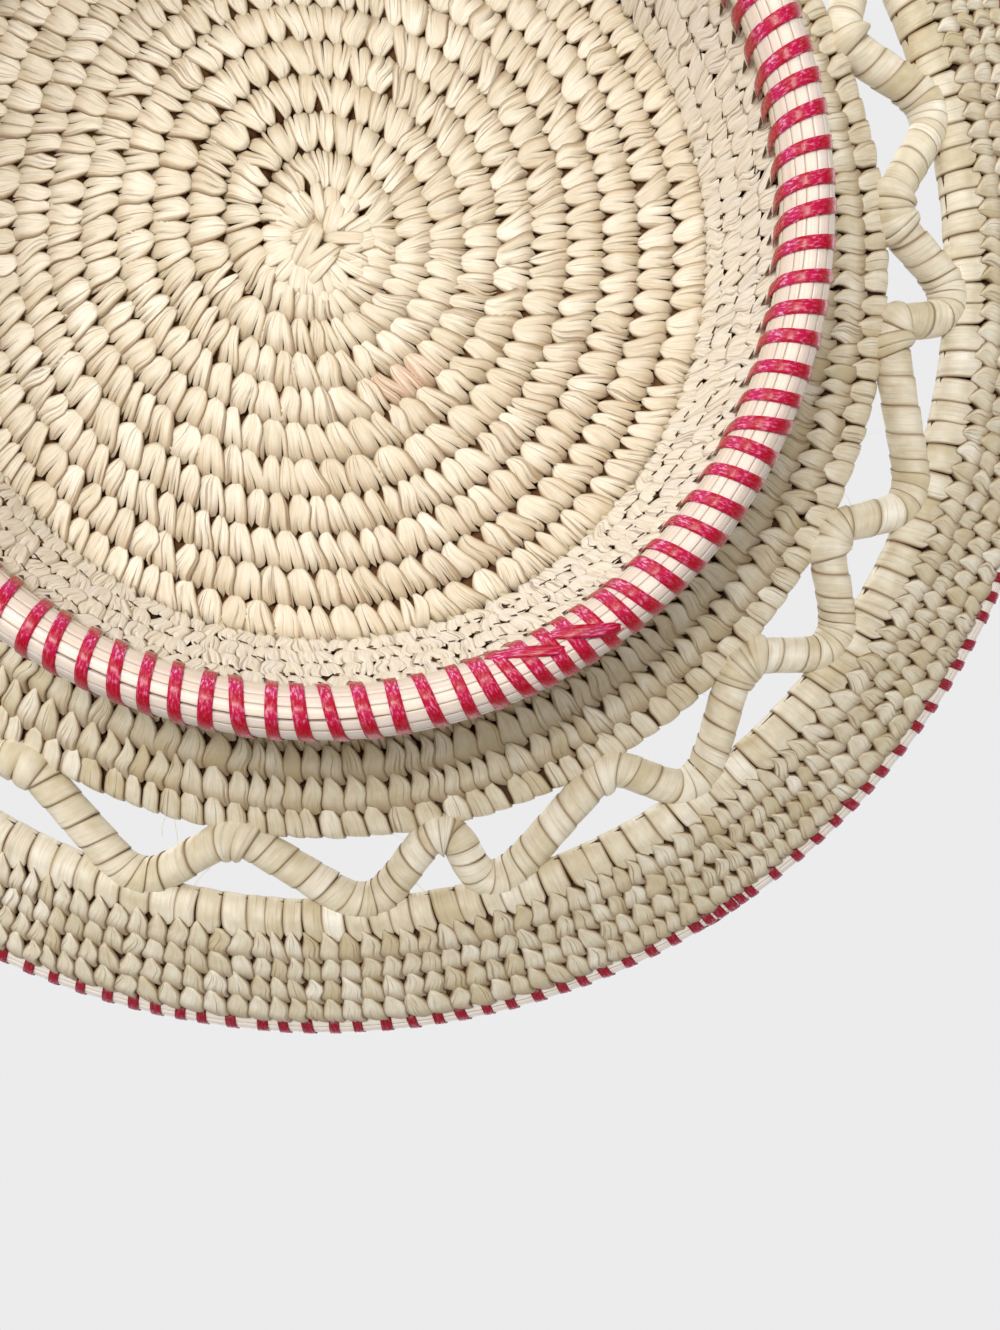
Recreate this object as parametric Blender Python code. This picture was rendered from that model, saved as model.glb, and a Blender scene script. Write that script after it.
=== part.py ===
"""A pedestal basket: a coiled straw tray with an openwork ring, standing on a coiled foot.

The basket stands on its foot. The floor is z = 0 and the basket's axis is the Z axis. A place in
the basket's cross-section is (radius, height). Each coil is one unbroken strand: it runs level
round the axis, and in the seam, a short stretch of each turn, it moves over to its next row.
"""

import math

import bmesh
import bpy
import numpy as np
from mathutils import Vector

MM = 0.001

# Strands
STRAND = 2.95 * MM            # corner radius of a six-sided coil strand
FIRST_STRAND = 2.6 * MM       # of the base's first row, which is thinner
STRAND_GROWTH = 0.15 * MM     # from one row of the base to the next, up to STRAND
LEAST_END_SIZE = 0.6 * MM     # where a strand's thinned end stops
END_GAP = 0.6 * MM            # between a thinned end and the next row
CLEARANCE = 0.35 * MM         # gap between pieces that touch

# Base of the tray
BASE_ROWS = 11
BASE_PITCH = 6.65 * MM        # from row to row along the base
BASE_HEIGHT = 37.1 * MM       # of the last base row above the floor
BASE_DROP = 6.5 * MM          # the middle of the base hangs lower by this
KNOT_RADIUS = 6.4 * MM
KNOT_HALF_HEIGHT = 3.6 * MM
STRAP_WIDTH = 3.0 * MM
STRAP_THICKNESS = 1.2 * MM

# Tray between the foot and the openwork
INNER_ROWS = 6
INNER_START = (83.15 * MM, 37.5 * MM)
INNER_END = (113.9 * MM, 49.0 * MM)
INNER_RISE_POWER = 1.15

# Openwork
ZIGZAG_CORNER_RUN = 2.0 * MM  # half of the stretch that lies along a neighbouring row
# Corners in degrees round the axis, first an inner one, then by turns outer and inner
UNEVEN_CORNERS = (122, 108, 99.5, 87, 79, 74.5, 61, 54, 43, 35.5, 27, 20, 5.5, 1.5, -7)
EVEN_LEGS = 26                # the legs that share the rest of the round

# Tray outside the openwork
OUTER_START = (134.9 * MM, 50.9 * MM)
OUTER_PITCH = 6.5 * MM
OUTER_SLOPES = (6, 24, 36, 43)  # degrees, from each row to the next one
RIM_SLOPE = 46                # degrees, from the last row to the bundle on the rim

# Foot
FOOT_ROWS = 4
FOOT_START = (85.3 * MM, 13.1 * MM)
FOOT_END = (79.6 * MM, 31.4 * MM)

# Bundles of bare stems on the foot and on the rim, both with six sides
FOOT_BUNDLE_RADIUS = 86.8 * MM
FOOT_BUNDLE_SIZE = 4.85 * MM  # corner radius of its section
RIM_BUNDLE_SIZE = 2.6 * MM
BUNDLE_STEP = 5               # degrees

# Red ribbon wound round the bundles
RIBBON_THICKNESS = 0.5 * MM
RIBBON_WIDTH = 2.7 * MM
RIBBON_GAP = 0.5 * MM         # between the start and the end of one turn
FOOT_TURNS = 15
FOOT_TURN_STEP = 20           # degrees from one turn to the next
FOOT_SPLICE = (49, 70)        # degrees, where crossed windings hold the ribbon's two ends
RIM_TURNS = 12
RIM_TURN_STEP = 30            # two steps of the row beside it, so each turn clears it alike
RIM_SPLICE = (54, 60)
RUN_STEP = {"foot": 10, "rim": 5}  # degrees between points where a ribbon runs along a bundle

# Steps of the coils
SEAM_ANGLE = 225              # degrees, the middle of every seam
BASE_SEAM = 0.25              # share of a turn that the seam takes
BAND_SEAM = 0.125
STEPS_PER_TURN = 24
SMALL_TURN_STEPS = 12
SMALL_TURN_RADIUS = 44 * MM   # turns inside this have fewer steps

HEXAGON_FLAT = math.cos(math.pi / 6)  # a hexagon's flats lie at this share of its corner radius


def clear_scene():
    for obj in list(bpy.data.objects):
        bpy.data.objects.remove(obj, do_unlink=True)


def shade(red, green, blue):
    """A colour written in screen values of 0 to 255, as a shader takes it."""
    return tuple((value / 255) ** 2.2 for value in (red, green, blue)) + (1.0,)


def material(name, colour, roughness, coat=0.0):
    made = bpy.data.materials.new(name)
    made.use_nodes = True
    shader = made.node_tree.nodes["Principled BSDF"]
    shader.inputs["Base Color"].default_value = colour
    shader.inputs["Roughness"].default_value = roughness
    shader.inputs["Metallic"].default_value = 0.0
    shader.inputs["Coat Weight"].default_value = coat
    made.diffuse_color = colour
    return made


def place(section, angle):
    """The point at a place (radius, height) of the cross-section, turned by angle degrees."""
    turn = math.radians(angle)
    return Vector((section[0] * math.cos(turn), section[0] * math.sin(turn), section[1]))


def step(section, slope, length):
    """A place further out along a slope in degrees."""
    turn = math.radians(slope)
    return (section[0] + length * math.cos(turn), section[1] + length * math.sin(turn))


# Rows of each coil

def base_rows():
    rows = []
    last = BASE_PITCH * (BASE_ROWS + 0.5)
    for number in range(1, BASE_ROWS + 1):
        radius = BASE_PITCH * (number + 0.5)
        rows.append((radius, BASE_HEIGHT - BASE_DROP * (1 - (radius / last) ** 2)))
    return rows


def inner_rows():
    rows = []
    for number in range(INNER_ROWS):
        share = number / (INNER_ROWS - 1)
        radius = INNER_START[0] + share * (INNER_END[0] - INNER_START[0])
        height = INNER_START[1] + share ** INNER_RISE_POWER * (INNER_END[1] - INNER_START[1])
        rows.append((radius, height))
    return rows


def outer_rows():
    rows = [OUTER_START]
    for slope in OUTER_SLOPES:
        rows.append(step(rows[-1], slope, OUTER_PITCH))
    return rows


def foot_rows():
    rows = []
    for number in range(FOOT_ROWS):
        share = number / (FOOT_ROWS - 1)
        rows.append(tuple(a + share * (b - a) for a, b in zip(FOOT_START, FOOT_END)))
    return rows


def rim_bundle_centre():
    hidden = RIBBON_THICKNESS + 2 * CLEARANCE
    distance = STRAND + hidden + RIM_BUNDLE_SIZE * HEXAGON_FLAT
    return step(outer_rows()[-1], RIM_SLOPE, distance)


def foot_bundle_centre():
    """The basket stands on the ribbon's turns, so the bundle is as much higher as they are thick."""
    lift = CLEARANCE + RIBBON_THICKNESS
    return (FOOT_BUNDLE_RADIUS, FOOT_BUNDLE_SIZE * HEXAGON_FLAT + lift)


# Coils

def between(start, end, share):
    """The place a share of the way from one place of the cross-section to another."""
    return tuple(a + share * (b - a) for a, b in zip(start, end))


def thinned_end(row, neighbour, share, seam):
    """Place and radius of a coil's thinned end, with its neighbour a share of a pitch away.

    The neighbour crosses the seam at a slope, and lean is the cosine of that slope. The thinned
    end keeps to the side of its row that is away from the neighbour.
    """
    pitch = math.dist(row, neighbour)
    lean = math.cos(math.atan2(pitch, row[0] * math.radians(seam)))
    room = pitch * share * lean - STRAND * (1 - lean) - END_GAP
    size = min(STRAND, room / (1 + lean))
    return between(row, neighbour, (size - STRAND) / pitch), size


def coil_path(rows, seam_share, first_size):
    """The strand's points and radii: level rows, joined in the seam, with thinned ends."""
    path = []
    seam = 360 * seam_share
    seam_start = SEAM_ANGLE - seam / 2
    seam_end = SEAM_ANGLE + seam / 2

    def add(section, size, angle):
        if size > LEAST_END_SIZE:
            path.append((place(section, angle), size))

    for number, row in enumerate(rows):
        size = min(STRAND, first_size + STRAND_GROWTH * number)
        steps = SMALL_TURN_STEPS if row[0] < SMALL_TURN_RADIUS else STEPS_PER_TURN
        seam_steps = round(steps * seam_share)
        if number == 0:
            for index in range(seam_steps):
                share = index / seam_steps
                section, end_size = thinned_end(row, rows[1], share, seam)
                add(section, min(end_size, size), seam_start + seam * share)
        for index in range(steps - seam_steps + 1):
            add(row, size, seam_end + 360 * index / steps)
        for index in range(1, seam_steps):
            share = index / seam_steps
            if number < len(rows) - 1:
                section = between(row, rows[number + 1], share)
            else:
                section, size = thinned_end(row, rows[-2], 1 - share, seam)
            add(section, size, seam_start + seam * share)
    return path


def least_gap(path, closest_steps):
    """The least gap of a strand to itself, between stretches this many points apart or more."""
    points = np.array([point for point, _ in path])
    radii = np.array([radius for _, radius in path])
    middles = (points[1:] + points[:-1]) / 2
    middle_radii = (radii[1:] + radii[:-1]) / 2
    every = np.concatenate([points, middles])
    every_radius = np.concatenate([radii, middle_radii])
    order = np.concatenate([np.arange(len(points)), np.arange(len(middles)) + 0.5])
    apart = np.linalg.norm(every[:, None] - every[None], axis=2)
    gap = apart - every_radius[:, None] - every_radius[None]
    far = np.abs(order[:, None] - order[None]) >= closest_steps
    return float(gap[far].min())


def tube(name, path, made_of, closed=False):
    """A six-sided tube along the path, as a curve with a bevel."""
    curve = bpy.data.curves.new(name, "CURVE")
    curve.dimensions = "3D"
    curve.twist_mode = "Z_UP"
    curve.bevel_depth = STRAND
    curve.bevel_resolution = 1
    curve.use_fill_caps = not closed
    spline = curve.splines.new("POLY")
    spline.points.add(len(path) - 1)
    for spline_point, (point, radius) in zip(spline.points, path):
        spline_point.co = (*point, 1.0)
        spline_point.radius = radius / STRAND
    spline.use_cyclic_u = closed
    spline.use_smooth = True
    curve.materials.append(made_of)
    obj = bpy.data.objects.new(name, curve)
    bpy.context.collection.objects.link(obj)
    return obj


def coil(name, rows, seam_share, made_of, first_size=STRAND):
    path = coil_path(rows, seam_share, first_size)
    gap = least_gap(path, SMALL_TURN_STEPS / 2)
    print(f"{name}: least gap of the strand to itself {gap / MM:.2f} mm")
    return tube(name, path, made_of)


def zigzag_corners():
    """Angle in degrees and side (0 inner, 1 outer) of each corner, once round."""
    corners = [(angle, index % 2) for index, angle in enumerate(UNEVEN_CORNERS)]
    last = UNEVEN_CORNERS[-1]
    leg = (360 - (UNEVEN_CORNERS[0] - last)) / EVEN_LEGS
    for index in range(1, EVEN_LEGS):
        corners.append((last - leg * index, index % 2))
    return corners


def chord_radius(radius, angle):
    """How far out a band's row runs at an angle, between the points that it is made of."""
    step_angle = 360 / STEPS_PER_TURN
    first = SEAM_ANGLE + 180 * BAND_SEAM
    from_middle = (angle - first) % step_angle - step_angle / 2
    return radius * math.cos(math.radians(step_angle / 2)) / math.cos(math.radians(from_middle))


def openwork_zigzag(made_of):
    """A strand bent to and fro, whose corners lie against the rows inside and outside it."""
    rows = (inner_rows()[-1], outer_rows()[0])
    reach = 2 * STRAND + CLEARANCE
    path = []
    for angle, side in zigzag_corners():
        radius, height = rows[side]
        half_run = math.degrees(ZIGZAG_CORNER_RUN / radius)
        for offset in (half_run, -half_run):
            out = reach if side == 0 else -reach
            section = (chord_radius(radius, angle + offset) + out, height)
            path.append((place(section, angle + offset), STRAND))
    return tube("openwork_zigzag", path, made_of, closed=True)


# Bundles and ribbons

def loft(name, sections, made_of, closed):
    """Joins sections of equally many points, with an end face on each end or as a closed ring."""
    mesh = bpy.data.meshes.new(name)
    shape = bmesh.new()
    rings = [[shape.verts.new(point) for point in section] for section in sections]
    pairs = list(zip(rings, rings[1:]))
    if closed:
        pairs.append((rings[-1], rings[0]))
    else:
        shape.faces.new(rings[0])
        shape.faces.new(rings[-1])
    for ring, after in pairs:
        for index in range(len(ring)):
            index_after = (index + 1) % len(ring)
            shape.faces.new((ring[index], ring[index_after], after[index_after], after[index]))
    bmesh.ops.recalc_face_normals(shape, faces=shape.faces)
    shape.to_mesh(mesh)
    shape.free()
    mesh.materials.append(made_of)
    obj = bpy.data.objects.new(name, mesh)
    bpy.context.collection.objects.link(obj)
    return obj


def round_bundle(centre, direction, distance, along=0.0):
    """A place by a bundle: at a distance in a direction, then along the tangent there."""
    turn = math.radians(direction)
    radius = centre[0] + distance * math.cos(turn) - along * math.sin(turn)
    height = centre[1] + distance * math.sin(turn) + along * math.cos(turn)
    return (radius, height)


def hexagon(centre, size, facing):
    """Six corners round a bundle's centre, with a flat side towards facing."""
    return [round_bundle(centre, facing - 30 - 60 * index, size) for index in range(6)]


def bundle(name, centre, size, facing, made_of):
    corners = hexagon(centre, size, facing)
    sections = []
    for index in range(360 // BUNDLE_STEP):
        sections.append([place(corner, BUNDLE_STEP * index) for corner in corners])
    return loft(name, sections, made_of, closed=True)


def splice(name, centre, size, facing, span, made_of):
    """A sleeve round a bundle, open at both ends, over a span of degrees."""
    inner = hexagon(centre, size + CLEARANCE / HEXAGON_FLAT, facing)
    outer_size = size + (CLEARANCE + RIBBON_THICKNESS) / HEXAGON_FLAT
    outer = hexagon(centre, outer_size, facing)
    steps = max(2, round((span[1] - span[0]) / BUNDLE_STEP))
    angles = [span[0] + (span[1] - span[0]) * index / steps for index in range(steps + 1)]
    rings = []
    for corners, order in ((outer, angles), (inner, angles[::-1])):
        for angle in order:
            rings.append([place(corner, angle) for corner in corners])
    return loft(name, rings, made_of, closed=True)


def ribbon_sections(centre, size, facing, turn_angles, ends, run_step):
    """Four-cornered sections of one ribbon: a slanted turn, a run along the bundle, and so on."""
    inner = CLEARANCE
    outer = CLEARANCE + RIBBON_THICKNESS
    half = RIBBON_WIDTH / 2
    run_half = min(half, 0.4 * size)
    flat = size * HEXAGON_FLAT
    degrees = math.degrees(1 / centre[0])
    shift = RIBBON_WIDTH + RIBBON_GAP
    sections = []

    def run(angle):
        section = []
        for level, along in ((inner, 1), (outer, 1), (outer, -1), (inner, -1)):
            section.append(place(round_bundle(centre, facing, flat + level, along * run_half), angle))
        sections.append(section)

    def turn(angle):
        for index in range(6):
            direction = facing - 30 - 60 * index
            middle = angle + degrees * shift * index / 5
            section = []
            for level, side in ((inner, 1), (outer, 1), (outer, -1), (inner, -1)):
                corner = round_bundle(centre, direction, size + level / HEXAGON_FLAT)
                section.append(place(corner, middle + side * degrees * half))
            sections.append(section)

    run(ends[0])
    for angle in turn_angles:
        run(angle - 1.5 * half * degrees)
        turn(angle)
        run(angle + (shift + 1.5 * half) * degrees)
        if angle != turn_angles[-1]:
            spacing = turn_angles[1] - turn_angles[0]
            for index in range(1, round(spacing / run_step)):
                run(angle + run_step * index)
    run(ends[1])
    return sections


def ribbon(name, sections, made_of):
    """The ribbon, and a print of its least gap to itself between stretches that aren't joined."""
    centres = [(sum(section, Vector()) / 4, 0.0) for section in sections]
    gap = least_gap(centres, 5) - RIBBON_WIDTH
    print(f"{name}: least gap of the ribbon to itself {gap / MM:.2f} mm")
    return loft(name, sections, made_of, closed=False)


def centre_knot(made_of):
    """A round knot with three flat strips crossed under it."""
    height = BASE_HEIGHT - BASE_DROP
    shape = bmesh.new()
    bmesh.ops.create_uvsphere(shape, u_segments=18, v_segments=8, radius=1.0)
    bmesh.ops.scale(shape, vec=(KNOT_RADIUS, KNOT_RADIUS, KNOT_HALF_HEIGHT), verts=shape.verts)
    bmesh.ops.translate(shape, vec=(0, 0, height), verts=shape.verts)
    mesh = bpy.data.meshes.new("centre_knot")
    shape.to_mesh(mesh)
    shape.free()
    mesh.materials.append(made_of)
    knot = bpy.data.objects.new("centre_knot", mesh)
    bpy.context.collection.objects.link(knot)
    for number in range(3):
        strap = bpy.data.meshes.new("strap")
        shape = bmesh.new()
        bmesh.ops.create_cube(shape, size=1.0)
        size = (2 * KNOT_RADIUS - STRAP_WIDTH, STRAP_WIDTH, STRAP_THICKNESS)
        bmesh.ops.scale(shape, vec=size, verts=shape.verts)
        shape.to_mesh(strap)
        shape.free()
        cutter = bpy.data.objects.new(f"strap_{number}", strap)
        cutter.location = (0, 0, height - KNOT_HALF_HEIGHT + STRAP_THICKNESS * number / 5)
        cutter.rotation_euler = (0, 0, math.radians(60 * number + 20))
        cutter.hide_render = True
        cutter.display_type = "WIRE"
        bpy.context.collection.objects.link(cutter)
        union = knot.modifiers.new(f"strap_{number}", "BOOLEAN")
        union.operation = "UNION"
        union.object = cutter
    return knot


def smooth_round_pieces():
    """Shades the lofted rings smooth, with sharp edges where their flats meet."""
    for obj in bpy.data.objects:
        if obj.type == "MESH" and not obj.hide_render:
            obj.data.shade_smooth()
            obj.data.set_sharp_from_angle(angle=math.radians(35))


def main():
    clear_scene()
    base_straw = material("base_straw", shade(232, 218, 178), 0.6)
    brim_straw = material("brim_straw", shade(213, 203, 170), 0.62)
    foot_straw = material("foot_straw", shade(238, 229, 200), 0.6)
    stems = material("bare_stems", shade(226, 208, 170), 0.55)
    red = material("red_ribbon", shade(200, 30, 60), 0.28, coat=0.4)

    centre_knot(base_straw)
    coil("base_coil", base_rows(), BASE_SEAM, base_straw, FIRST_STRAND)
    coil("brim_inner_coil", inner_rows(), BAND_SEAM, brim_straw)
    openwork_zigzag(brim_straw)
    coil("brim_outer_coil", outer_rows(), BAND_SEAM, brim_straw)
    coil("foot_coil", foot_rows(), BAND_SEAM, foot_straw)

    for place_name, centre, size, facing, turns, turn_step, span in (
        ("foot", foot_bundle_centre(), FOOT_BUNDLE_SIZE, 90,
         FOOT_TURNS, FOOT_TURN_STEP, FOOT_SPLICE),
        ("rim", rim_bundle_centre(), RIM_BUNDLE_SIZE, RIM_SLOPE + 180,
         RIM_TURNS, RIM_TURN_STEP, RIM_SPLICE),
    ):
        prefix = "foot_rim" if place_name == "foot" else "rim"
        bundle(f"{prefix}_bundle", centre, size, facing, stems)
        splice(f"{prefix}_splice", centre, size, facing, span, red)
        gap = math.degrees(RIBBON_GAP / centre[0])
        ends = (span[1] + gap, span[0] + 360 - gap)
        slack = ends[1] - ends[0] - turn_step * (turns - 1)
        first = BUNDLE_STEP * round((ends[0] + slack / 2) / BUNDLE_STEP)
        angles = [first + turn_step * index for index in range(turns)]
        step_along = RUN_STEP[place_name]
        sections = ribbon_sections(centre, size, facing, angles, ends, step_along)
        ribbon(f"{prefix}_ribbon", sections, red)
    smooth_round_pieces()


main()
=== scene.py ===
"""The looks of a pedestal basket: a coiled straw tray with an openwork ring, on a coiled foot.

Every coil is a core of stems with single leaf strips sewn over it. A strand's cross-section has
two directions: out, away from the row that was sewn before, and face, towards the side of the
basket that is seen from below. Lengths inside the functions are in metres.
"""

import copy
import math

import bpy
import numpy as np
from mathutils import Matrix, Vector


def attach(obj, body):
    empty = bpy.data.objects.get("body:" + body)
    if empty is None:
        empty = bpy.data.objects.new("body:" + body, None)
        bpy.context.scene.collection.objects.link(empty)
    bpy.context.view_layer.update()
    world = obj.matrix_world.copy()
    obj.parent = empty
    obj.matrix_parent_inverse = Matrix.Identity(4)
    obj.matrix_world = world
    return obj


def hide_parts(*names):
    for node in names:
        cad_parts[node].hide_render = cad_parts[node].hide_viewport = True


bl_info = {
    "name": "Pedestal Basket",
    "version": (1, 0, 0),
    "blender": (4, 5, 0),
    "location": "View3D > Sidebar > Basket",
    "description": "A coiled straw tray with an openwork ring, on a coiled foot",
    "category": "Add Mesh",
}

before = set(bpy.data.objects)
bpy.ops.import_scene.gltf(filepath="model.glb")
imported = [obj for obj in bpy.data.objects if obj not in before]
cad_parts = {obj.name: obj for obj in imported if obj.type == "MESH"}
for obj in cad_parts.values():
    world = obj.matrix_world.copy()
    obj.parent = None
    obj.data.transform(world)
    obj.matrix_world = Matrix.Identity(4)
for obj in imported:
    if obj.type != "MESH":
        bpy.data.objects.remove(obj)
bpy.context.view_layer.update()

MM = 0.001
BODY = "root"

# Limits of the widths in the panel
LEAST_WIDTH = 0.5 * MM
MOST_WIDTH = 20 * MM

# Rows of the coils, as radius and height
BASE_ROWS = 10
BASE_FIRST = 6.45 * MM         # radius of row 0, which the knot hides
BASE_PITCH = 6.65 * MM
BASE_EDGE = 76.5 * MM
BASE_HEIGHT = 37.1 * MM
BASE_DROP = 6.5 * MM           # how much lower the base's middle lies than its edge
BASE_OFFSET = (-2.3 * MM, -2.2 * MM)  # of the base's middle rows from the axis
INNER_ROWS = 6
INNER_PITCH = 7.1 * MM
INNER_START = (79.7 * MM, 37.3 * MM)
INNER_END = (113.9 * MM, 49.0 * MM)
INNER_RISE_POWER = 1.3         # over 1, so the band climbs more steeply further out
LONG_STRIP_ROWS = 3            # rows of the inner band with long split strips
OUTER_START = (134.9 * MM, 50.9 * MM)
OUTER_PITCH = 6.5 * MM
OUTER_SLOPES = (24, 33, 31, 33)
RIM_SLOPE = 28
FOOT_ROWS = 4
FOOT_PITCH = 6.39 * MM
FOOT_TOP = (79.6 * MM, 31.4 * MM)
FOOT_BOTTOM = (85.3 * MM, 13.1 * MM)
FOOT_BUNDLE = (86.9 * MM, 5.25 * MM)
FOOT_BUNDLE_SIZE = 4.8 * MM
FOOT_BULGE = 1.3 * MM          # the foot isn't quite round
FOOT_BULGE_ANGLE = 62          # degrees round the axis
FOOT_BULGE_SPREAD = 42
RIM_BUNDLE_SIZE = 2.35 * MM
RIM_BUNDLE_OFFSET = 6.6 * MM   # from the last row of the tray
FOOT_SPLICE = (49, 70)         # degrees round the axis
RIM_SPLICE = (54, 60)

# An open seam between stems: its angle in the section, from and to degrees round the axis
FOOT_GROOVE = (80, 76, 128)
RIM_GROOVE = (40, 200, 260)

# Openwork: corners in degrees, first an inner one, then by turns outer and inner
UNEVEN_CORNERS = (122, 108, 99.5, 87, 79, 74.5, 61, 54, 43, 35.5, 27, 20, 5.5, 1.5, -7)
EVEN_LEGS = 26
# Each pair is for an inner and an outer corner
ZIGZAG_CORNER_RUNS = (1.8 * MM, 2.7 * MM)
ZIGZAG_BENDS = (3.4 * MM, 5.0 * MM)  # length of a leg that a bend takes
ZIGZAG_REACHES = (5.3 * MM, -3.0 * MM)  # outwards from the row beside it
ZIGZAG_DROPS = (1.0 * MM, 0.3 * MM)  # below the row beside it
ZIGZAG_SIZE = 7.6 * MM         # across the wrapped strand
ZIGZAG_SWELLING = 0.1          # how much thicker the strand is at an outer corner
ZIGZAG_SWOLLEN = 5 * MM        # from the corner
ZIGZAG_CUTS = 3                # times that its corners are cut to round them
ZIGZAG_HALVED = 6 * MM         # from an outer corner, where the turns of leaf are half as wide
ZIGZAG_WRAP_ENDS = (-0.6, 2 * math.pi - 0.4)  # radians round the strand, of one turn of leaf

# Stray fibres in the openings, in degrees round the axis
FIBRE_ANGLES = (105.6, 107.5, 103, 88, 86, 80, 50, 49, 47.5, 22, 21, 18.5, 5.6, 4)
OTHER_FIBRES = (125, 350, 14)  # from and to degrees, outside the photo, and how many
FIBRE_POINTS = 14              # along a fibre
FIBRE_RADIUS = 0.07 * MM
FIBRE_REACHES = (5, 12)        # millimetres into the opening, from and to
FIBRE_SWEEP = 9                # millimetres round the axis, at most, either way
FIBRE_BEND = 0.02              # radians
FIBRE_DROP = 4 * MM

# Seams, where a strand steps over to its next row
SEAM_ANGLE = 225
WIDEST_SEAM = 90               # degrees, of the first rows
SEAM_NARROWING = 9             # degrees, from row to row
BAND_SEAM = 45
STAINED_STRIP = 1271           # degrees that the coil has turned there
COIL_STEP = 1.5                # degrees from point to point of a coil's line
THINNEST = 0.12                # size of a strand where its thinned end stops

# The camera looks up at the basket from under it
CAMERA_PLACE = (19.62 * MM, 69.41 * MM, -214.83 * MM)
CAMERA_AIM = (34.92 * MM, 80.94 * MM, 40.0 * MM)
CAMERA_UP = (0, -1, 0)
CAMERA_LENS = 33.83            # millimetres
CAMERA_SENSOR = 36.0           # millimetres, the width of its picture

# Each lamp's name, place, aim, size in metres and power in watts
LAMPS = (
    ("under_key", (-0.2, -0.22, -0.95), (0.03, 0.04, 0.04), 0.3, 7.0),
    ("under_side", (-0.62, -0.66, -0.6), (0.03, 0.04, 0.03), 0.35, 3.5),
    ("under_fill", (0.5, 0.3, -0.9), (0.02, 0.03, 0.04), 0.9, 1.5),
    ("upper_key", (-0.7, -0.8, 1.1), (0, 0, 0.05), 0.7, 13.0),
    ("upper_fill", (0.9, -0.2, 0.8), (0, 0, 0.05), 1.0, 4.5),
    ("upper_back", (0.1, 1.0, 0.9), (0, 0, 0.05), 1.0, 4.5))
BACKDROP = (0.93, 0.93, 0.94)
BACKDROP_SEEN = 0.9            # strength of the backdrop where the camera sees it
BACKDROP_LIGHT = 0.15          # strength of the light that comes from it
FLOOR_HALF = 3.0               # metres
FLOOR_FADE = (0.3, 1.1)        # metres from the axis, from where the floor fades to where it ends


def width_property(name, description, default):
    return bpy.props.FloatProperty(
        name=name, description=description, default=default,
        min=LEAST_WIDTH, max=MOST_WIDTH, unit="LENGTH")


def count_property(name, description, default, least, most):
    return bpy.props.IntProperty(
        name=name, description=description, default=default, min=least, max=most)


class BasketSizes(bpy.types.PropertyGroup):
    """Sizes of the strips, stems and ribbons."""

    base_stitch: width_property("Base stitch", "Width of a stitch on the base", 3.95 * MM)
    band_stitch: width_property("Band stitch", "Width of a stitch on the sloping bands", 3.9 * MM)
    edge_stitch: width_property("Edge stitch", "Width of a stitch on the inner band's last row",
                                4.5 * MM)
    foot_stitch: width_property("Foot stitch", "Width of a stitch on the foot", 3.7 * MM)
    zigzag_wrap: width_property("Zigzag wrap", "Width of one turn of leaf on the zigzag, and on "
                                "the row outside it", 5.2 * MM)
    foot_ribbon: width_property("Foot ribbon", "Width of the red ribbon on the foot", 2.45 * MM)
    rim_ribbon: width_property("Rim ribbon", "Width of the red ribbon on the rim", 2.35 * MM)
    foot_ties: count_property("Foot turns", "Turns of the red ribbon round the foot's bundle",
                              103, 3, 400)
    rim_ties: count_property("Rim turns", "Turns of the red ribbon round the rim's bundle",
                             178, 3, 600)
    foot_stems: count_property("Foot stems", "Stems that show round the foot's bundle", 13, 6, 60)
    rim_stems: count_property("Rim stems", "Stems that show round the rim's bundle", 11, 4, 40)


def screen(red, green, blue):
    """A colour written in screen values of 0 to 255, as a shader takes it."""
    linear = []
    for value in (red, green, blue):
        share = value / 255
        linear.append(share / 12.92 if share <= 0.04045 else ((share + 0.055) / 1.055) ** 2.4)
    return tuple(linear)


def colour_property(name, description, default):
    return bpy.props.FloatVectorProperty(
        name=name, description=description, default=default,
        subtype="COLOR", size=3, min=0.0, max=1.0)


class BasketColours(bpy.types.PropertyGroup):
    """Colours of the leaf, stems, ribbon and floor."""

    base_leaf: colour_property("Base leaf", "Leaf strip on the base", screen(224, 214, 192))
    # Partly the bands' own greyer straw, partly painted shade: a darker copy of the leaf for the
    # sloping bands.
    brim_leaf_and_shade: colour_property("Brim leaf", "Leaf strip on the sloping bands",
                               screen(207, 194, 161))
    # Painted light: the foot's leaf is a paler copy of the leaf, as if its wall were lit brighter.
    lit_foot_leaf: colour_property("Foot leaf", "Leaf strip on the foot", screen(241, 238, 232))
    pale_leaf: colour_property("Pale leaf", "The palest strips", screen(249, 244, 230))
    # The fibre colour also gives the painted shade in crevices its warm tint.
    fibre: colour_property("Fibre", "Darker lines along a strip", screen(197, 170, 121))
    # Painted shade: the crevice colour stands for the shade between stitches, on the strips there
    # and on the stems below, over the stems' own brown. The cracks along a strip take it too.
    crevice_shade: colour_property("Crevice Shade", "Stems and strip deep between stitches",
                             screen(102, 62, 22))
    stain: colour_property("Stain", "Reddish brown marks on some strips", screen(196, 132, 100))
    stem: colour_property("Stem", "Bare stems of the bundles", screen(236, 228, 220))
    stem_shade: colour_property("Stem shade", "Darker bare stems", screen(208, 190, 162))
    ribbon: colour_property("Foot ribbon", "Red ribbon on the foot", screen(178, 14, 40))
    # Painted shade: the rim's red is the foot ribbon's red darkened, as the rim lies in shade.
    rim_ribbon: colour_property("Rim ribbon", "Red ribbon on the rim", screen(138, 12, 30))
    # Stretched and worn ribbon go on its bends: partly the ribbon's own stretch marks and
    # scratches, partly a painted highlight where the bends face the light.
    ribbon_thin_and_highlight: colour_property("Stretched ribbon", "Ribbon where it is stretched thin",
                                 screen(200, 42, 112))
    ribbon_worn_and_highlight: colour_property("Worn ribbon", "Scratches in the ribbon", screen(246, 192, 226))
    floor: colour_property("Floor", "Floor under the basket", screen(214, 213, 211))


# Lines through the middle of strands

def unit(vectors):
    return vectors / np.maximum(np.linalg.norm(vectors, axis=-1, keepdims=True), 1e-12)


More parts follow.
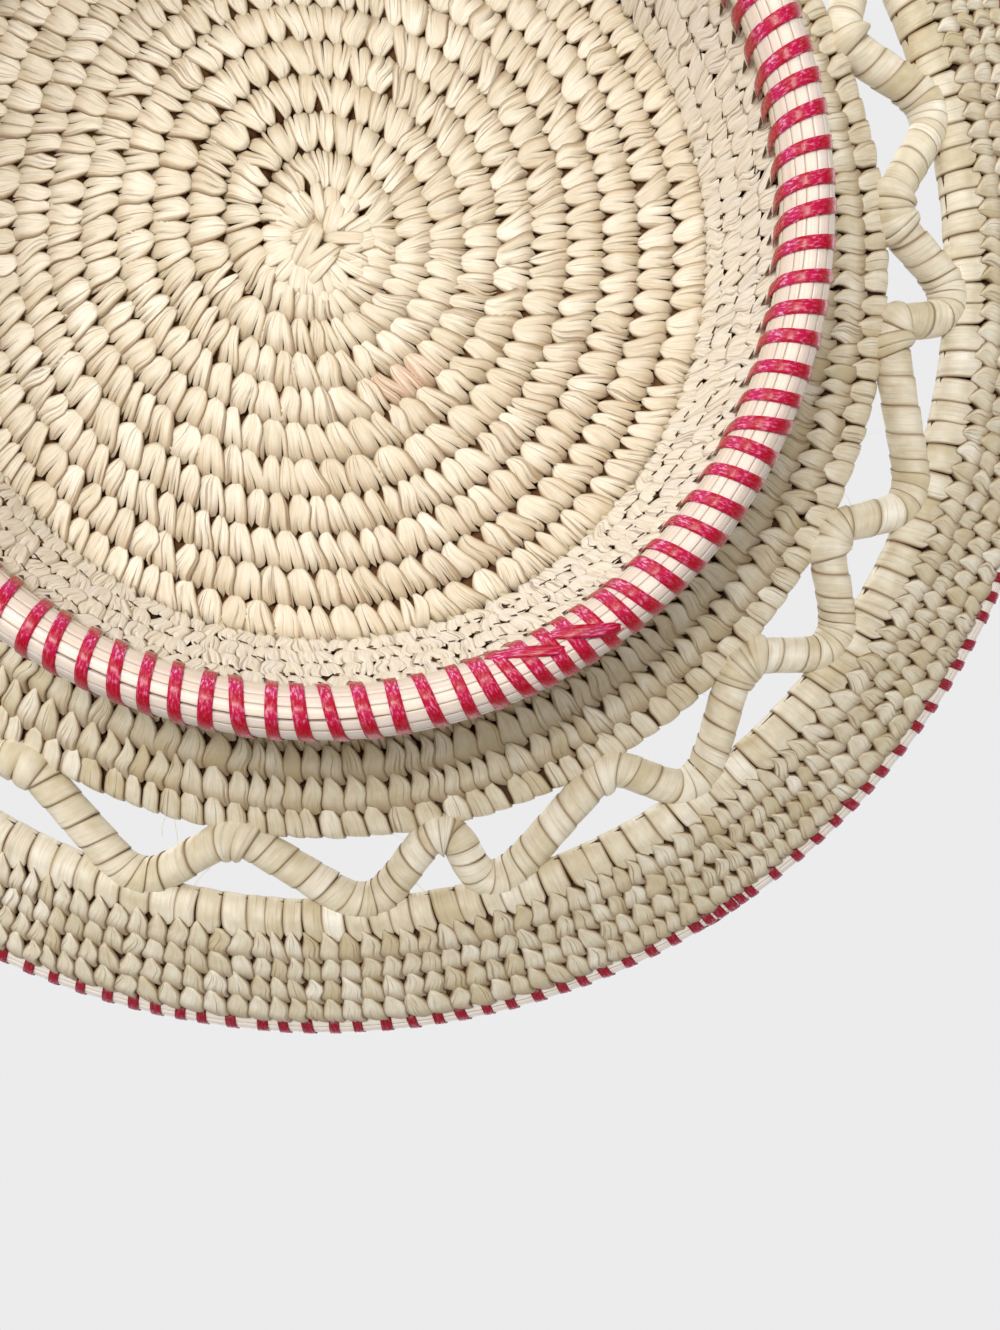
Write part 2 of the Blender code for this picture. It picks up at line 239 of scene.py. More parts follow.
class Line:
    """A line through a strand's middle, with out and face directions and a size at each point."""

    def __init__(self, centres, out, face, size=None, closed=False):
        steps = np.linalg.norm(np.diff(centres, axis=0), axis=1)
        self.distance = np.concatenate([[0.0], np.cumsum(steps)])
        self.length = float(self.distance[-1])
        self.turned = None            # degrees that a coil has turned at each point
        self.corners = ()             # how far along the zigzag's corners are
        self.closed = closed
        sizes = np.ones(len(centres)) if size is None else size
        self.columns = np.concatenate([centres, out, face, sizes[:, None]], axis=1).T

    def frame(self, distance):
        """Middle, out, face and size at distances along the line."""
        if self.closed:
            distance = np.mod(distance, self.length)
        parts = [np.interp(distance, self.distance, column) for column in self.columns]
        middle, out, face = (np.stack(parts[i:i + 3], -1) for i in (0, 3, 6))
        return middle, unit(out), unit(face), parts[9]


def section_frames(angle, out):
    """The out and face directions in space, from the out direction in the cross-section."""
    ring = np.stack([np.cos(angle), np.sin(angle), np.zeros_like(angle)], -1)
    up = np.array([0.0, 0.0, 1.0])
    outward = out[:, :1] * ring + out[:, 1:] * up
    face = out[:, 1:] * ring - out[:, :1] * up
    return outward, face


def base_nudge(points):
    """The middle rows of the base lie a little off the axis."""
    radius = np.hypot(points[:, 0], points[:, 1])
    share = np.sin(np.pi * np.minimum(radius / BASE_EDGE, 1))
    return share[:, None] * np.array([*BASE_OFFSET, 0.0])


def foot_nudge(points):
    """The foot bulges a little to one side, most at its bundle."""
    turn = np.degrees(np.arctan2(points[:, 1], points[:, 0])) - FOOT_BULGE_ANGLE
    turn = (turn + 180) % 360 - 180
    down = np.clip((FOOT_TOP[1] - points[:, 2]) / (FOOT_TOP[1] - FOOT_BUNDLE[1]), 0, 1)
    bulge = FOOT_BULGE * down * np.exp(-(turn / FOOT_BULGE_SPREAD) ** 2)
    return unit(points * (1, 1, 0)) * bulge[:, None]


def coil_line(rows, first, last, first_seam=BAND_SEAM, thin_start=False, thin_end=False,
              nudge=None):
    """The line of a coil, from its seam number first to its seam number last.

    rows[k] is row k's (radius, height). Past seam number k the strand is in row k + 1. A thinned
    end keeps to the side of its row that the neighbouring strand leaves free.
    """
    rows = np.array(rows)
    past_start = 360.0 * first - first_seam / 2
    past_end = 360.0 * last + max(BAND_SEAM, first_seam - SEAM_NARROWING * last) / 2
    turned = np.arange(past_start, past_end + 1e-6, COIL_STEP)
    seam = np.floor((turned + 180) / 360)
    seam_width = np.maximum(BAND_SEAM, first_seam - SEAM_NARROWING * np.maximum(seam - 1, 0))
    share = np.clip((turned - 360 * seam) / seam_width + 0.5, 0, 1)
    row = seam + share
    size = np.ones(len(row))
    low, high = first + 1, last
    if thin_start:
        early = row < low
        size[early] = 1 - (low - row[early])
        row[early] = low - (low - row[early]) / 2
    if thin_end:
        late = row > high
        size[late] = 1 - (row[late] - high)
        row[late] = high + (row[late] - high) / 2
    numbers = np.arange(len(rows))
    radius, height = (np.interp(row, numbers, rows[:, i]) for i in (0, 1))
    slopes = np.gradient(rows, axis=0)
    out = unit(np.stack([np.interp(row, numbers, slopes[:, i]) for i in (0, 1)], -1))
    angle = np.radians(SEAM_ANGLE + turned)
    outward, face = section_frames(angle, out)
    middle = np.stack([radius * np.cos(angle), radius * np.sin(angle), height], -1)
    if nudge is not None:
        middle = middle + nudge(middle)
    line = Line(middle, outward, face, np.maximum(size, THINNEST))
    line.turned = turned
    return line


def distance_at(line, turned):
    """How far along a coil a place is that has turned by this many degrees past the first seam."""
    return float(np.interp(turned, line.turned, line.distance))


def ring_line(radius, height, nudge=None):
    """A closed ring round the axis, with out pointing outwards and face down."""
    angle = np.radians(np.arange(0, 361, 1.0))
    out = np.stack([np.ones_like(angle), np.zeros_like(angle)], -1)
    outward, face = section_frames(angle, out)
    middle = np.stack([radius * np.cos(angle), radius * np.sin(angle), height + 0 * angle], -1)
    if nudge is not None:
        middle = middle + nudge(middle)
    return Line(middle, outward, face, closed=True)


def step(section, slope, length):
    turn = math.radians(slope)
    return (section[0] + length * math.cos(turn), section[1] + length * math.sin(turn))


def tray_rows():
    """Row 0 is hidden in the knot. The base and the inner band are one coil."""
    rows = []
    for number in range(BASE_ROWS + 1):
        radius = BASE_FIRST + BASE_PITCH * number
        rows.append((radius, BASE_HEIGHT - BASE_DROP * (1 - (radius / BASE_EDGE) ** 2)))
    for number in range(INNER_ROWS):
        share = number / (INNER_ROWS - 1)
        radius = INNER_START[0] + share * (INNER_END[0] - INNER_START[0])
        height = INNER_START[1] + share ** INNER_RISE_POWER * (INNER_END[1] - INNER_START[1])
        rows.append((radius, height))
    return with_next_row(rows)


def with_next_row(rows):
    last, before = np.array(rows[-1]), np.array(rows[-2])
    return [*rows, tuple(2 * last - before)]


def with_row_before(rows):
    first, second = np.array(rows[0]), np.array(rows[1])
    return [tuple(2 * first - second), *rows]


def outer_rows():
    rows = [OUTER_START]
    for slope in OUTER_SLOPES:
        rows.append(step(rows[-1], slope, OUTER_PITCH))
    return with_row_before(with_next_row(rows))


def foot_rows():
    rows = []
    for number in range(FOOT_ROWS):
        share = number / (FOOT_ROWS - 1)
        rows.append(tuple(a + share * (b - a) for a, b in zip(FOOT_TOP, FOOT_BOTTOM)))
    return with_row_before(with_next_row(rows))


def tray_line():
    return coil_line(tray_rows(), 0, BASE_ROWS + INNER_ROWS, first_seam=WIDEST_SEAM, thin_end=True,
                     nudge=base_nudge)


def outer_line():
    return coil_line(outer_rows(), 0, len(OUTER_SLOPES) + 1, thin_start=True, thin_end=True)


def foot_line():
    return coil_line(foot_rows(), 0, FOOT_ROWS, thin_start=True, thin_end=True, nudge=foot_nudge)


def rim_bundle_place():
    return step(outer_rows()[len(OUTER_SLOPES) + 1], RIM_SLOPE, RIM_BUNDLE_OFFSET)


def zigzag_corners():
    """Angle in degrees and side (0 inner, 1 outer) of each corner, once round."""
    corners = [(angle, index % 2) for index, angle in enumerate(UNEVEN_CORNERS)]
    last = UNEVEN_CORNERS[-1]
    leg = (360 - (UNEVEN_CORNERS[0] - last)) / EVEN_LEGS
    for index in range(1, EVEN_LEGS):
        corners.append((last - leg * index, index % 2))
    return corners


def corner_cut(points, rounds):
    """Rounds a closed run of points by cutting its corners."""
    for _ in range(rounds):
        after = np.roll(points, -1, axis=0)
        points = np.stack([0.75 * points + 0.25 * after, 0.25 * points + 0.75 * after], 1)
        points = points.reshape(-1, points.shape[-1])
    return points


def toward(place, aim, length):
    return place + unit(aim - place) * length


def zigzag_line():
    """The zigzag's legs are straight, and it lies along the next row for a little at a corner."""
    corners = []
    runs = []
    for angle, side in zigzag_corners():
        radius, height = (INNER_END, OUTER_START)[side]
        radius += ZIGZAG_REACHES[side]
        turn = math.radians(angle)
        corners.append((radius * math.cos(turn), radius * math.sin(turn),
                        height - ZIGZAG_DROPS[side]))
        run = ZIGZAG_CORNER_RUNS[side]
        runs.append((run * math.sin(turn), -run * math.cos(turn), 0.0))
    corners, runs = np.array(corners), np.array(runs)
    points = []
    for index, place in enumerate(corners):
        before, after = corners[index - 1], corners[(index + 1) % len(corners)]
        enter, leave = place - runs[index], place + runs[index]
        bend = ZIGZAG_BENDS[index % 2]
        points += [toward(enter, before, bend), enter, leave, toward(leave, after, bend)]
    points = corner_cut(np.array(points), ZIGZAG_CUTS)
    points = np.concatenate([points, points[:1]])
    along = unit(np.roll(points[:-1], -1, axis=0) - np.roll(points[:-1], 1, axis=0))
    along = np.concatenate([along, along[:1]])
    down = np.array([0.0, 0.0, -1.0])
    out = unit(np.cross(down, along))
    apart = np.linalg.norm(points[:, None] - corners[None, 1::2], axis=2).min(axis=1)
    size = 1 + ZIGZAG_SWELLING * np.exp(-(apart / ZIGZAG_SWOLLEN) ** 2)
    line = Line(points, out, unit(np.cross(along, out)), size, closed=True)
    line.corners = [line.distance[np.argmin(np.linalg.norm(points - place, axis=1))]
                    for place in corners]
    return line


# Cross-sections and grids

STRIP_SECTION_SAMPLES = 64
RIBBON_SECTION_SAMPLES = 96
MAP_MARGIN = 0.08              # round a grid, as a share of its cell in the square map


def smooth_section(points, samples=STRIP_SECTION_SAMPLES):
    """A smooth curve through the points of a cross-section, with its outward normal."""
    points = np.array(points, float)
    steps = np.linalg.norm(np.diff(points, axis=0), axis=1)
    knots = np.concatenate([[0.0], np.cumsum(steps)]) / steps.sum()
    slopes = np.gradient(points, knots, axis=0)
    share = np.linspace(0, 1, samples)
    index = np.clip(np.searchsorted(knots, share, side="right") - 1, 0, len(knots) - 2)
    span = (knots[index + 1] - knots[index])[:, None]
    t = (share - knots[index])[:, None] / span
    start, end = points[index], points[index + 1]
    leave, arrive = slopes[index] * span, slopes[index + 1] * span
    curve = (start * (1 + 2 * t) + leave * t) * (1 - t) ** 2
    curve = curve + (end * (3 - 2 * t) - arrive * (1 - t)) * t ** 2
    along = unit(np.gradient(curve, axis=0))
    normal = np.stack([-along[:, 1], along[:, 0]], -1)
    return share, curve, normal


def grid_faces(count, rows, columns, closed_rows=False, closed_columns=False):
    """Quads of count grids of rows by columns vertices each."""
    row = np.arange(rows if closed_rows else rows - 1)
    column = np.arange(columns if closed_columns else columns - 1)
    r, c = np.meshgrid(row, column, indexing="ij")
    r_next, c_next = (r + 1) % rows, (c + 1) % columns
    one = np.stack([r * columns + c, r * columns + c_next,
                    r_next * columns + c_next, r_next * columns + c], -1).reshape(-1, 4)
    return (one[None] + np.arange(count)[:, None, None] * rows * columns).reshape(-1, 4)


def atlas(count, rows, columns, closed_rows=False, closed_columns=False):
    """A place in a square map for every face corner of count grids, each in a cell of its own."""
    rows, columns = rows + closed_rows, columns + closed_columns
    side = math.ceil(math.sqrt(count))
    cell = np.arange(count)
    u, v = np.meshgrid(*(np.linspace(MAP_MARGIN, 1 - MAP_MARGIN, many)
                         for many in (columns, rows)))
    places = np.stack([(cell % side)[:, None, None] + u, (cell // side)[:, None, None] + v], -1)
    return places.reshape(-1, 2)[grid_faces(count, rows, columns).ravel()] / side


def make_lot(points, place, looks, count, rows, columns, **closed):
    """A lot of count grids for make_mesh.

    place holds a vertex's place on its strip in millimetres and the strip's number. looks holds
    the strip's tone, its stain (on a ribbon, where its bends are stretched, scratched and given a
    painted highlight), and how far down between stitches the vertex lies, which sets its painted
    shade.
    """
    return {"points": points, "faces": grid_faces(count, rows, columns, **closed),
            "map": atlas(count, rows, columns, **closed), "place": place, "looks": looks}


def make_mesh(name, grids, material):
    """A piece of one mesh, made from several lots of grids."""
    mesh = bpy.data.meshes.new(name)
    points = np.concatenate([lot["points"].reshape(-1, 3) for lot in grids])
    offsets = np.cumsum([0] + [lot["points"].size // 3 for lot in grids])
    faces = np.concatenate([lot["faces"] + offset for lot, offset in zip(grids, offsets)])
    mesh.vertices.add(len(points))
    mesh.vertices.foreach_set("co", points.astype(np.float32).ravel())
    mesh.loops.add(faces.size)
    mesh.loops.foreach_set("vertex_index", faces.astype(np.int32).ravel())
    mesh.polygons.add(len(faces))
    mesh.polygons.foreach_set("loop_start", np.arange(0, faces.size, 4, dtype=np.int32))
    mesh.update(calc_edges=True)
    for key in ("place", "looks"):
        attribute = mesh.attributes.new(f"strip_{key}", "FLOAT_VECTOR", "POINT")
        values = np.concatenate([lot[key].reshape(-1, 3) for lot in grids])
        attribute.data.foreach_set("vector", values.astype(np.float32).ravel())
    layer = mesh.uv_layers.new(name="OFBake")
    places = shared_map([lot["map"] for lot in grids])
    layer.uv.foreach_set("vector", places.astype(np.float32).ravel())
    mesh.shade_smooth()
    mesh.materials.append(material)
    piece = bpy.data.objects.new(name, mesh)
    bpy.context.scene.collection.objects.link(piece)
    return piece


def shared_map(maps):
    """Packs the maps of several lots side by side into one square, by how many faces they have."""
    shares = np.array([len(places) for places in maps], float)
    edges = np.concatenate([[0.0], np.cumsum(shares / shares.sum())])
    packed = []
    for places, low, high in zip(maps, edges, edges[1:]):
        packed.append(np.stack([low + places[:, 0] * (high - low), places[:, 1]], -1))
    return np.concatenate(packed)


# Leaf strips

MOST_NUDGE = 0.3               # of its width, that a strip is moved at most to meet the turn before


def spaced(line, start, end, width, style, pitch, rng):
    """Middles, widths and splits of strips from start to end along a line.

    On a coil a strip's near end goes between two strips of the turn before or, where the style
    says so, through one of them, which is split there.
    """
    lean = style.slant[0] * pitch
    middles = [start + width / 2]
    first_turned = np.interp(start, line.distance, line.turned) if line.turned is not None else 0

    def turn_before(place):
        """Where the near end of a strip meets the turn before, or None before the first turn."""
        turned = np.interp(place, line.distance, line.turned) - 360
        if turned <= first_turned:
            return None
        return np.interp(turned, line.turned, line.distance) - lean

    while middles[-1] < end - width:
        place = middles[-1] + width * (1 + style.uneven * rng.uniform(-1, 1))
        before = turn_before(place) if line.turned is not None else None
        if before is not None:
            index = np.searchsorted(middles, before)
            if 0 < index < len(middles):
                low, high = middles[index - 1:index + 1]
                aim = min(low, high, key=lambda one: abs(one - before))
                aim = aim if style.piercing else (low + high) / 2
                place += np.clip(aim - before, -MOST_NUDGE * width, MOST_NUDGE * width)
        middles.append(place)
    middles = np.array(middles)
    edges = np.concatenate([[start], (middles[1:] + middles[:-1]) / 2, [end]])
    middles, widths = (edges[1:] + edges[:-1]) / 2, np.diff(edges)
    splits = [[] for _ in middles]
    if line.turned is not None and style.piercing:
        for place in middles:
            before = turn_before(place)
            if before is not None:
                owner = min(max(np.searchsorted(edges, before) - 1, 0), len(middles) - 1)
                splits[owner].append(2 * (before - middles[owner]) / widths[owner])
    return middles, widths, splits


def run_length(points):
    return np.linalg.norm(np.diff(points, axis=0), axis=1).sum()


def smooth_step(value):
    value = np.clip(value, 0, 1)
    return value * value * (3 - 2 * value)


COLUMNS = 11                   # of vertices across a strip

# Splits of a strip, in shares of its half width from its middle
CHANCE_SPLIT = (-0.3, 0.3)     # range of a single split that comes by chance
CHANCE_SPLITS = ((-0.45, -0.25), (0.25, 0.45))
SPLIT_REACH = 0.72             # a strip that goes through further out than this splits nothing
SPLITS_APART = 0.4             # two that are closer together than this make one split
SECOND_SPLIT = 0.62            # from the first split to one that is added
SPLIT_HALF = 0.03              # half of the gap between two lobes

SPLIT_CREASE = 0.4 * MM        # depth of the crease that leads to a split
SPLIT_DEPTH = 1.0 * MM         # depth that an open split adds
LOBE_FALL = 0.2 * MM           # how much lower the sides of a lobe lie than its middle
CREASE_LEAD = 0.25             # share of the length that the crease takes
CREASE_DARK_LEAD = 0.15        # share by which its shade starts before the split
CREASE_DARK_LENGTH = 0.25      # share over which the shade grows
FAR_DARK_START = 0.4           # share of the length where the far end's shade starts
NEAR_DARK_END = 0.35           # share where the near end's shade ends
NEAR_SKIRT = 0.8               # of the skirt, that the near end is turned down
SKIRT_SHADE = 0.85              # painted shade at the turned down sides of a strip
NEAR_SKIRT_SHADE = 0.8          # painted shade at its turned down near end
TONE_SPREAD = 0.35             # of the strips' tones, which go from -1 to 1
STAIN_STRENGTH = 1.3           # at its middle. All over 1 counts as 1
STAIN_FALL = 0.6               # that it loses from strip to strip


def split_places(pierced, style, rng):
    """Where a strip is split: where others go through it, or by chance."""
    kind = rng.choice((1, 2, 3), p=style.kinds)
    chance = ([], [rng.uniform(*CHANCE_SPLIT)],
              [rng.uniform(*places) for places in CHANCE_SPLITS])[kind - 1]
    kept = [place for place in sorted(pierced)[:2] if abs(place) < SPLIT_REACH]
    if len(kept) == 2 and kept[1] - kept[0] < SPLITS_APART:
        kept = kept[:1]
    if len(kept) == 1 and kind == 3:
        kept.append(kept[0] + (SECOND_SPLIT if kept[0] < 0 else -SECOND_SPLIT))
    return sorted(kept) if kept else chance


def strip_columns(splits):
    """Columns across one strip, which has one lobe more than splits.

    For each column: where it is, whether it is a split, its place in its lobe, the lobe's middle.
    """
    count = (COLUMNS + 1) // (len(splits) + 1) - 1
    columns = []
    for low, high in zip([-1, *splits], [*splits, 1]):
        if columns:
            columns.append((low, 1.0, 0.0, low))
        low, high = low + SPLIT_HALF, high - SPLIT_HALF
        for lobe in np.linspace(-1, 1, count):
            middle = (low + high) / 2
            columns.append((middle + lobe * (high - low) / 2, 0.0, lobe, middle))
    return np.array(columns).T


class StripStyle:
    """The shape of one kind of strip. Sections are in shares of the row pitch."""

    def __init__(self, section, outline, **settings):
        self.share, self.curve, self.normal = smooth_section(section)
        self.outline = np.array(outline)
        self.samples = 8              # rows of vertices along a strip
        self.start_round = 0.2        # share of the length over which the near end is rounded
        self.point = 0.16             # share of the length that a lobe's point takes
        self.notch = (0.25, 0.5)      # share of the length that a split or a taper takes
        self.taper = (0.3, 0.7)       # width that is left at a lobe's point
        self.kinds = (0.4, 0.38, 0.22)  # shares of strips with one, two and three points
        self.slant = (-0.3, 0.1)      # sideways shift over the pitch: middle and spread
        self.sway = (0.0, 0.06)       # sideways bend in the middle, in shares of the pitch
        self.crown = (0.45 * MM, 0.15 * MM)
        self.tilt = (0.0, 0.12 * MM)  # one side higher than the other
        self.skirt = 0.6 * MM
        self.cover = 1.03             # width over the strip's share of the row
        self.uneven = 0.28
        self.length_spread = 0.035
        self.piercing = False         # near ends go through a strip of the row before
        self.stain = None             # distance along the line of a strip with a reddish stain
        self.edge_shade = 0.6          # painted shade on a strip's sides
        self.near_shade = 0.0          # painted shade on its near end
        self.far_shade = 0.35          # painted shade on its far end
        for name, value in settings.items():
            if not hasattr(self, name):
                raise ValueError(f"a strip has no setting named {name}")
            setattr(self, name, value)


def lay_strips(line, middles, widths, pitch, style, rng, pierced=None):
    """Grids of leaf strips laid over a line, each at a distance along it."""
    count = len(middles)
    splits = [split_places(one, style, rng) for one in (pierced or [()] * count)]
    across, cleft, lobe, lobe_middle = (
        values[:, None] for values in np.stack([strip_columns(one) for one in splits], axis=1))

    def draw(pair):
        return (pair[0] + pair[1] * rng.normal(size=count).clip(-2, 2))[:, None, None]

    slant, sway, crown, tilt = (draw(s) for s in (style.slant, style.sway, style.crown, style.tilt))
    spread = style.length_spread
    near_shift = rng.normal(0, spread, count)[:, None, None]
    far_shift = 0.4 * rng.normal(0, spread, (count, 1, COLUMNS))
    far_shift = far_shift + rng.normal(0, spread, count)[:, None, None]
    notch = rng.uniform(*style.notch, size=count)[:, None, None]
    taper = rng.uniform(*style.taper, size=count)[:, None, None]

    start = style.start_round * (1 - np.sqrt(np.clip(1 - np.abs(across) ** 2.6, 0, 1)))
    end = 1 - style.point * np.abs(lobe) ** 1.6 - notch * cleft
    share = np.linspace(0, 1, style.samples)[None, :, None]
    along = start + near_shift * (1 - share) + (end + far_shift - start) * share
    along = np.clip(along, 0, 1)
    opened = smooth_step((along - (1 - notch)) / notch)
    place = lobe_middle + (across - lobe_middle) * (1 - (1 - taper) * opened ** 1.7)
    half = (widths * style.cover / 2)[:, None, None]
    x, y = (np.interp(along, style.share, style.curve[:, i]) for i in (0, 1))
    nx, ny = (np.interp(along, style.share, style.normal[:, i]) for i in (0, 1))
    wide = np.interp(along, style.outline[:, 0], style.outline[:, 1])
    size = pitch * line.frame(middles)[3][:, None, None]
    sideways = half * place * wide + size * slant * (along - 0.5)
    sideways = sideways + size * sway * np.sin(np.pi * along * 2)
    lift = crown * (1 - across ** 2) ** 0.85 + tilt * across
    past_split = along - (1 - notch)
    lift = lift - SPLIT_CREASE * cleft * smooth_step((past_split + CREASE_LEAD) / CREASE_LEAD)
    lift = lift - SPLIT_DEPTH * cleft * opened
    split = np.array([len(one) > 0 for one in splits])[:, None, None]
    lift = lift - LOBE_FALL * lobe ** 2 * split * opened
    # Painted shade: darker along a split's crease, at the strip's sides, and at its far and near
    # ends, where the neighbouring strips shade it.
    shade_depth = cleft * smooth_step((past_split + CREASE_DARK_LEAD) / CREASE_DARK_LENGTH)
    shade_depth = np.maximum(shade_depth, style.edge_shade * np.abs(across) ** 8)
    far_share = (along - FAR_DARK_START) / (1 - FAR_DARK_START)
    shade_depth = np.maximum(shade_depth, style.far_shade * smooth_step(far_share))
    shade_depth = np.maximum(shade_depth, style.near_shade * smooth_step(1 - along / NEAR_DARK_END))
    shade_depth = shade_depth + 0 * along

    def ringed(values):
        """The same grid with its first row and its two outer columns doubled."""
        values = np.concatenate([values[:, :1], values], 1)
        return np.concatenate([values[:, :, :1], values, values[:, :, -1:]], 2)

    x, y, nx, ny, sideways, lift, shade_depth, along_grid, place_grid = (
        ringed(v + 0 * along) for v in (x * size, y * size, nx, ny, sideways, lift, shade_depth,
                                        along, half * place))
    lift[:, 0] -= style.skirt * NEAR_SKIRT
    lift[:, 1:, 0] -= style.skirt
    lift[:, 1:, -1] -= style.skirt
    # Painted shade on the turned down near end and sides.
    shade_depth[:, 0] = NEAR_SKIRT_SHADE
    shade_depth[:, :, 0] = SKIRT_SHADE
    shade_depth[:, :, -1] = SKIRT_SHADE

    middle, out, face, _ = line.frame(middles[:, None, None] + sideways)
    points = middle + (x + nx * lift)[..., None] * out + (y + ny * lift)[..., None] * face
    rows, columns = points.shape[1:3]
    tone = np.clip(rng.normal(0, TONE_SPREAD, count), -1, 1)[:, None, None] + 0 * along_grid
    stain = 0 * along_grid
    if style.stain is not None:
        apart = np.abs(middles - style.stain) / widths.mean()
        stain = stain + np.clip(STAIN_STRENGTH - STAIN_FALL * apart, 0, 1)[:, None, None]
    length = run_length(style.curve) * size
    number = np.arange(count)[:, None, None] + rng.integers(1000) + 0 * along_grid
    place = np.stack([place_grid / MM, along_grid * length / MM, number], -1)
    looks = np.stack([tone, stain, np.clip(shade_depth, 0, 1)], -1)
    return make_lot(points, place, looks, count, rows, columns)


def lay_tube(line, radius, samples, sides, start=0.0, end=None, shade_depth=1.0, squash=1.0):
    """A tube round a line, from start to end or, round a closed line, without an end."""
    closed = line.closed and end is None
    end = line.length if end is None else end
    where = np.linspace(start, end, samples, endpoint=not closed)
    middle, out, face, size = line.frame(where)
    angle = np.arange(sides) * 2 * math.pi / sides
    x = radius * np.cos(angle) * size[:, None]
    y = radius * squash * np.sin(angle) * size[:, None]
    points = middle[:, None] + x[..., None] * out[:, None] + y[..., None] * face[:, None]
    place = np.stack([angle * 0.5 + 0 * x, where[:, None] / MM + 0 * x, 0 * x], -1)
    looks = np.stack([0 * x, 0 * x, shade_depth + 0 * x], -1)
    return make_lot(points, place, looks, 1, samples, sides, closed_rows=closed,
                    closed_columns=True)


def core(line, start, end, pitch, samples, size=0.53, squash=0.8):
    """The stems inside a coil. They show between the stitches and fill the way to the next row."""
    return lay_tube(line, size * pitch, samples, 12, start, end, squash=squash)


# Sections in shares of the pitch, from the near end of a strip to its far end
PETAL = ((-0.67, 0.35), (-0.64, 0.43), (-0.5, 0.49), (-0.28, 0.535), (0.0, 0.545),
         (0.2, 0.52), (0.38, 0.47), (0.52, 0.39), (0.64, 0.27))
PETAL_OUTLINE = ((0.0, 0.12), (0.08, 0.4), (0.18, 0.71), (0.32, 0.97), (0.55, 1.06), (0.85, 1.06),
                 (1.0, 1.0))
SCALE = ((-0.78, 0.48), (-0.72, 0.525), (-0.58, 0.545), (-0.4, 0.55), (-0.2, 0.56),
         (0.04, 0.555), (0.26, 0.52), (0.46, 0.46), (0.64, 0.38))
SCALE_OUTLINE = ((0.0, 0.16), (0.1, 0.44), (0.25, 0.8), (0.45, 1.04), (0.86, 1.08), (1.0, 1.0))
WALL = ((-0.66, 0.47), (-0.62, 0.5), (-0.45, 0.515), (-0.2, 0.52), (0.05, 0.52),
        (0.3, 0.515), (0.5, 0.495), (0.66, 0.465))
EDGE_WRAP = ((-0.76, 0.42), (-0.7, 0.49), (-0.5, 0.53), (-0.2, 0.54), (0.06, 0.53),
             (0.3, 0.44), (0.47, 0.24), (0.53, 0.0), (0.47, -0.24), (0.3, -0.44),
             (0.06, -0.53), (-0.2, -0.54), (-0.5, -0.53), (-0.7, -0.49), (-0.76, -0.42))
EDGE_OUTLINE = ((0.0, 0.25), (0.06, 0.62), (0.14, 0.98), (0.86, 0.98), (0.94, 0.62), (1.0, 0.25))
PLAIN_OUTLINE = ((0.0, 1.0), (1.0, 1.0))


def petals(stain):
    """Pointed strips of the base. The next row's strips split their far ends into fingers."""
    return StripStyle(PETAL, PETAL_OUTLINE, kinds=(0.4, 0.28, 0.32), start_round=0.12, point=0.13,
                      notch=(0.32, 0.55), taper=(0.58, 0.88), crown=(0.12 * MM, 0.06 * MM),
                      tilt=(-0.16 * MM, 0.12 * MM), cover=1.17, uneven=0.42, piercing=True,
                      stain=stain, edge_shade=1.0, near_shade=0.05, far_shade=0.45)


def wall_strips():
    """Flat strips of the foot's wall, with small gaps where the next row's strips go through."""
    return StripStyle(WALL, PETAL_OUTLINE, kinds=(0.4, 0.4, 0.2), start_round=0.1, point=0.08,
                      notch=(0.18, 0.32), taper=(0.4, 0.8), slant=(-0.25, 0.16),
                      sway=(-0.03, 0.06), crown=(0.03 * MM, 0.02 * MM),
                      tilt=(-0.03 * MM, 0.06 * MM), skirt=0.25 * MM, cover=1.1, uneven=0.38,
                      length_spread=0.05, piercing=True, edge_shade=0.3, far_shade=0.1)


def scales(**settings):
    """Fat strips of the sloping bands, whose pointed near ends overlap the row before."""
    values = {"kinds": (0.6, 0.3, 0.1), "start_round": 0.08, "point": 0.07,
              "notch": (0.2, 0.5), "taper": (0.8, 0.97), "slant": (-0.3, 0.1),
              "sway": (-0.09, 0.04), "crown": (0.46 * MM, 0.12 * MM),
              "tilt": (-0.26 * MM, 0.1 * MM), "cover": 1.08, "uneven": 0.33, "edge_shade": 1.0,
              "near_shade": 0.1, "far_shade": 0.7}
    values.update(settings)
    return StripStyle(SCALE, SCALE_OUTLINE, **values)


def long_strips():
    """Strips with several splits along them, in the rows beside the foot."""
    return scales(kinds=(0.1, 0.4, 0.5), notch=(0.6, 0.85), taper=(0.75, 0.95),
                  crown=(0.3 * MM, 0.1 * MM))


SLIT_SECTION = ((0.38, 0.528), (0.46, 0.53), (0.54, 0.522))
SLIT_SHARE = 0.62              # of the stitches have a slit
SLIT_SHIFT = 0.4               # of a stitch's width, that a slit may lie off its middle
SLIT_WIDTHS = (0.4, 0.85)      # millimetres, from and to
SLIT_OUTLINE = ((0.0, 0.12), (0.4, 1.0), (0.65, 0.9), (1.0, 0.12))


def wall_slits(line, middles, width, pitch, over, rng):
    """Slits in the foot's wall, where strips go in under the next row: dark sheets of painted
    shade.
    """
    style = StripStyle(SLIT_SECTION, SLIT_OUTLINE, kinds=(1.0, 0.0, 0.0), samples=5,
                       start_round=0.0, point=0.0, slant=(-0.15, 0.06), crown=(0.0, 0.0),
                       tilt=(0.0, 0.0), cover=1.0, length_spread=0.0, skirt=0.25 * MM)
    middles = middles[rng.uniform(size=len(middles)) < SLIT_SHARE]
    middles = middles + rng.uniform(-SLIT_SHIFT, SLIT_SHIFT, len(middles)) * width
    widths = rng.uniform(*SLIT_WIDTHS, len(middles)) * MM
    return lay_strips(line, middles, widths, pitch, turned_over(style) if over else style, rng)


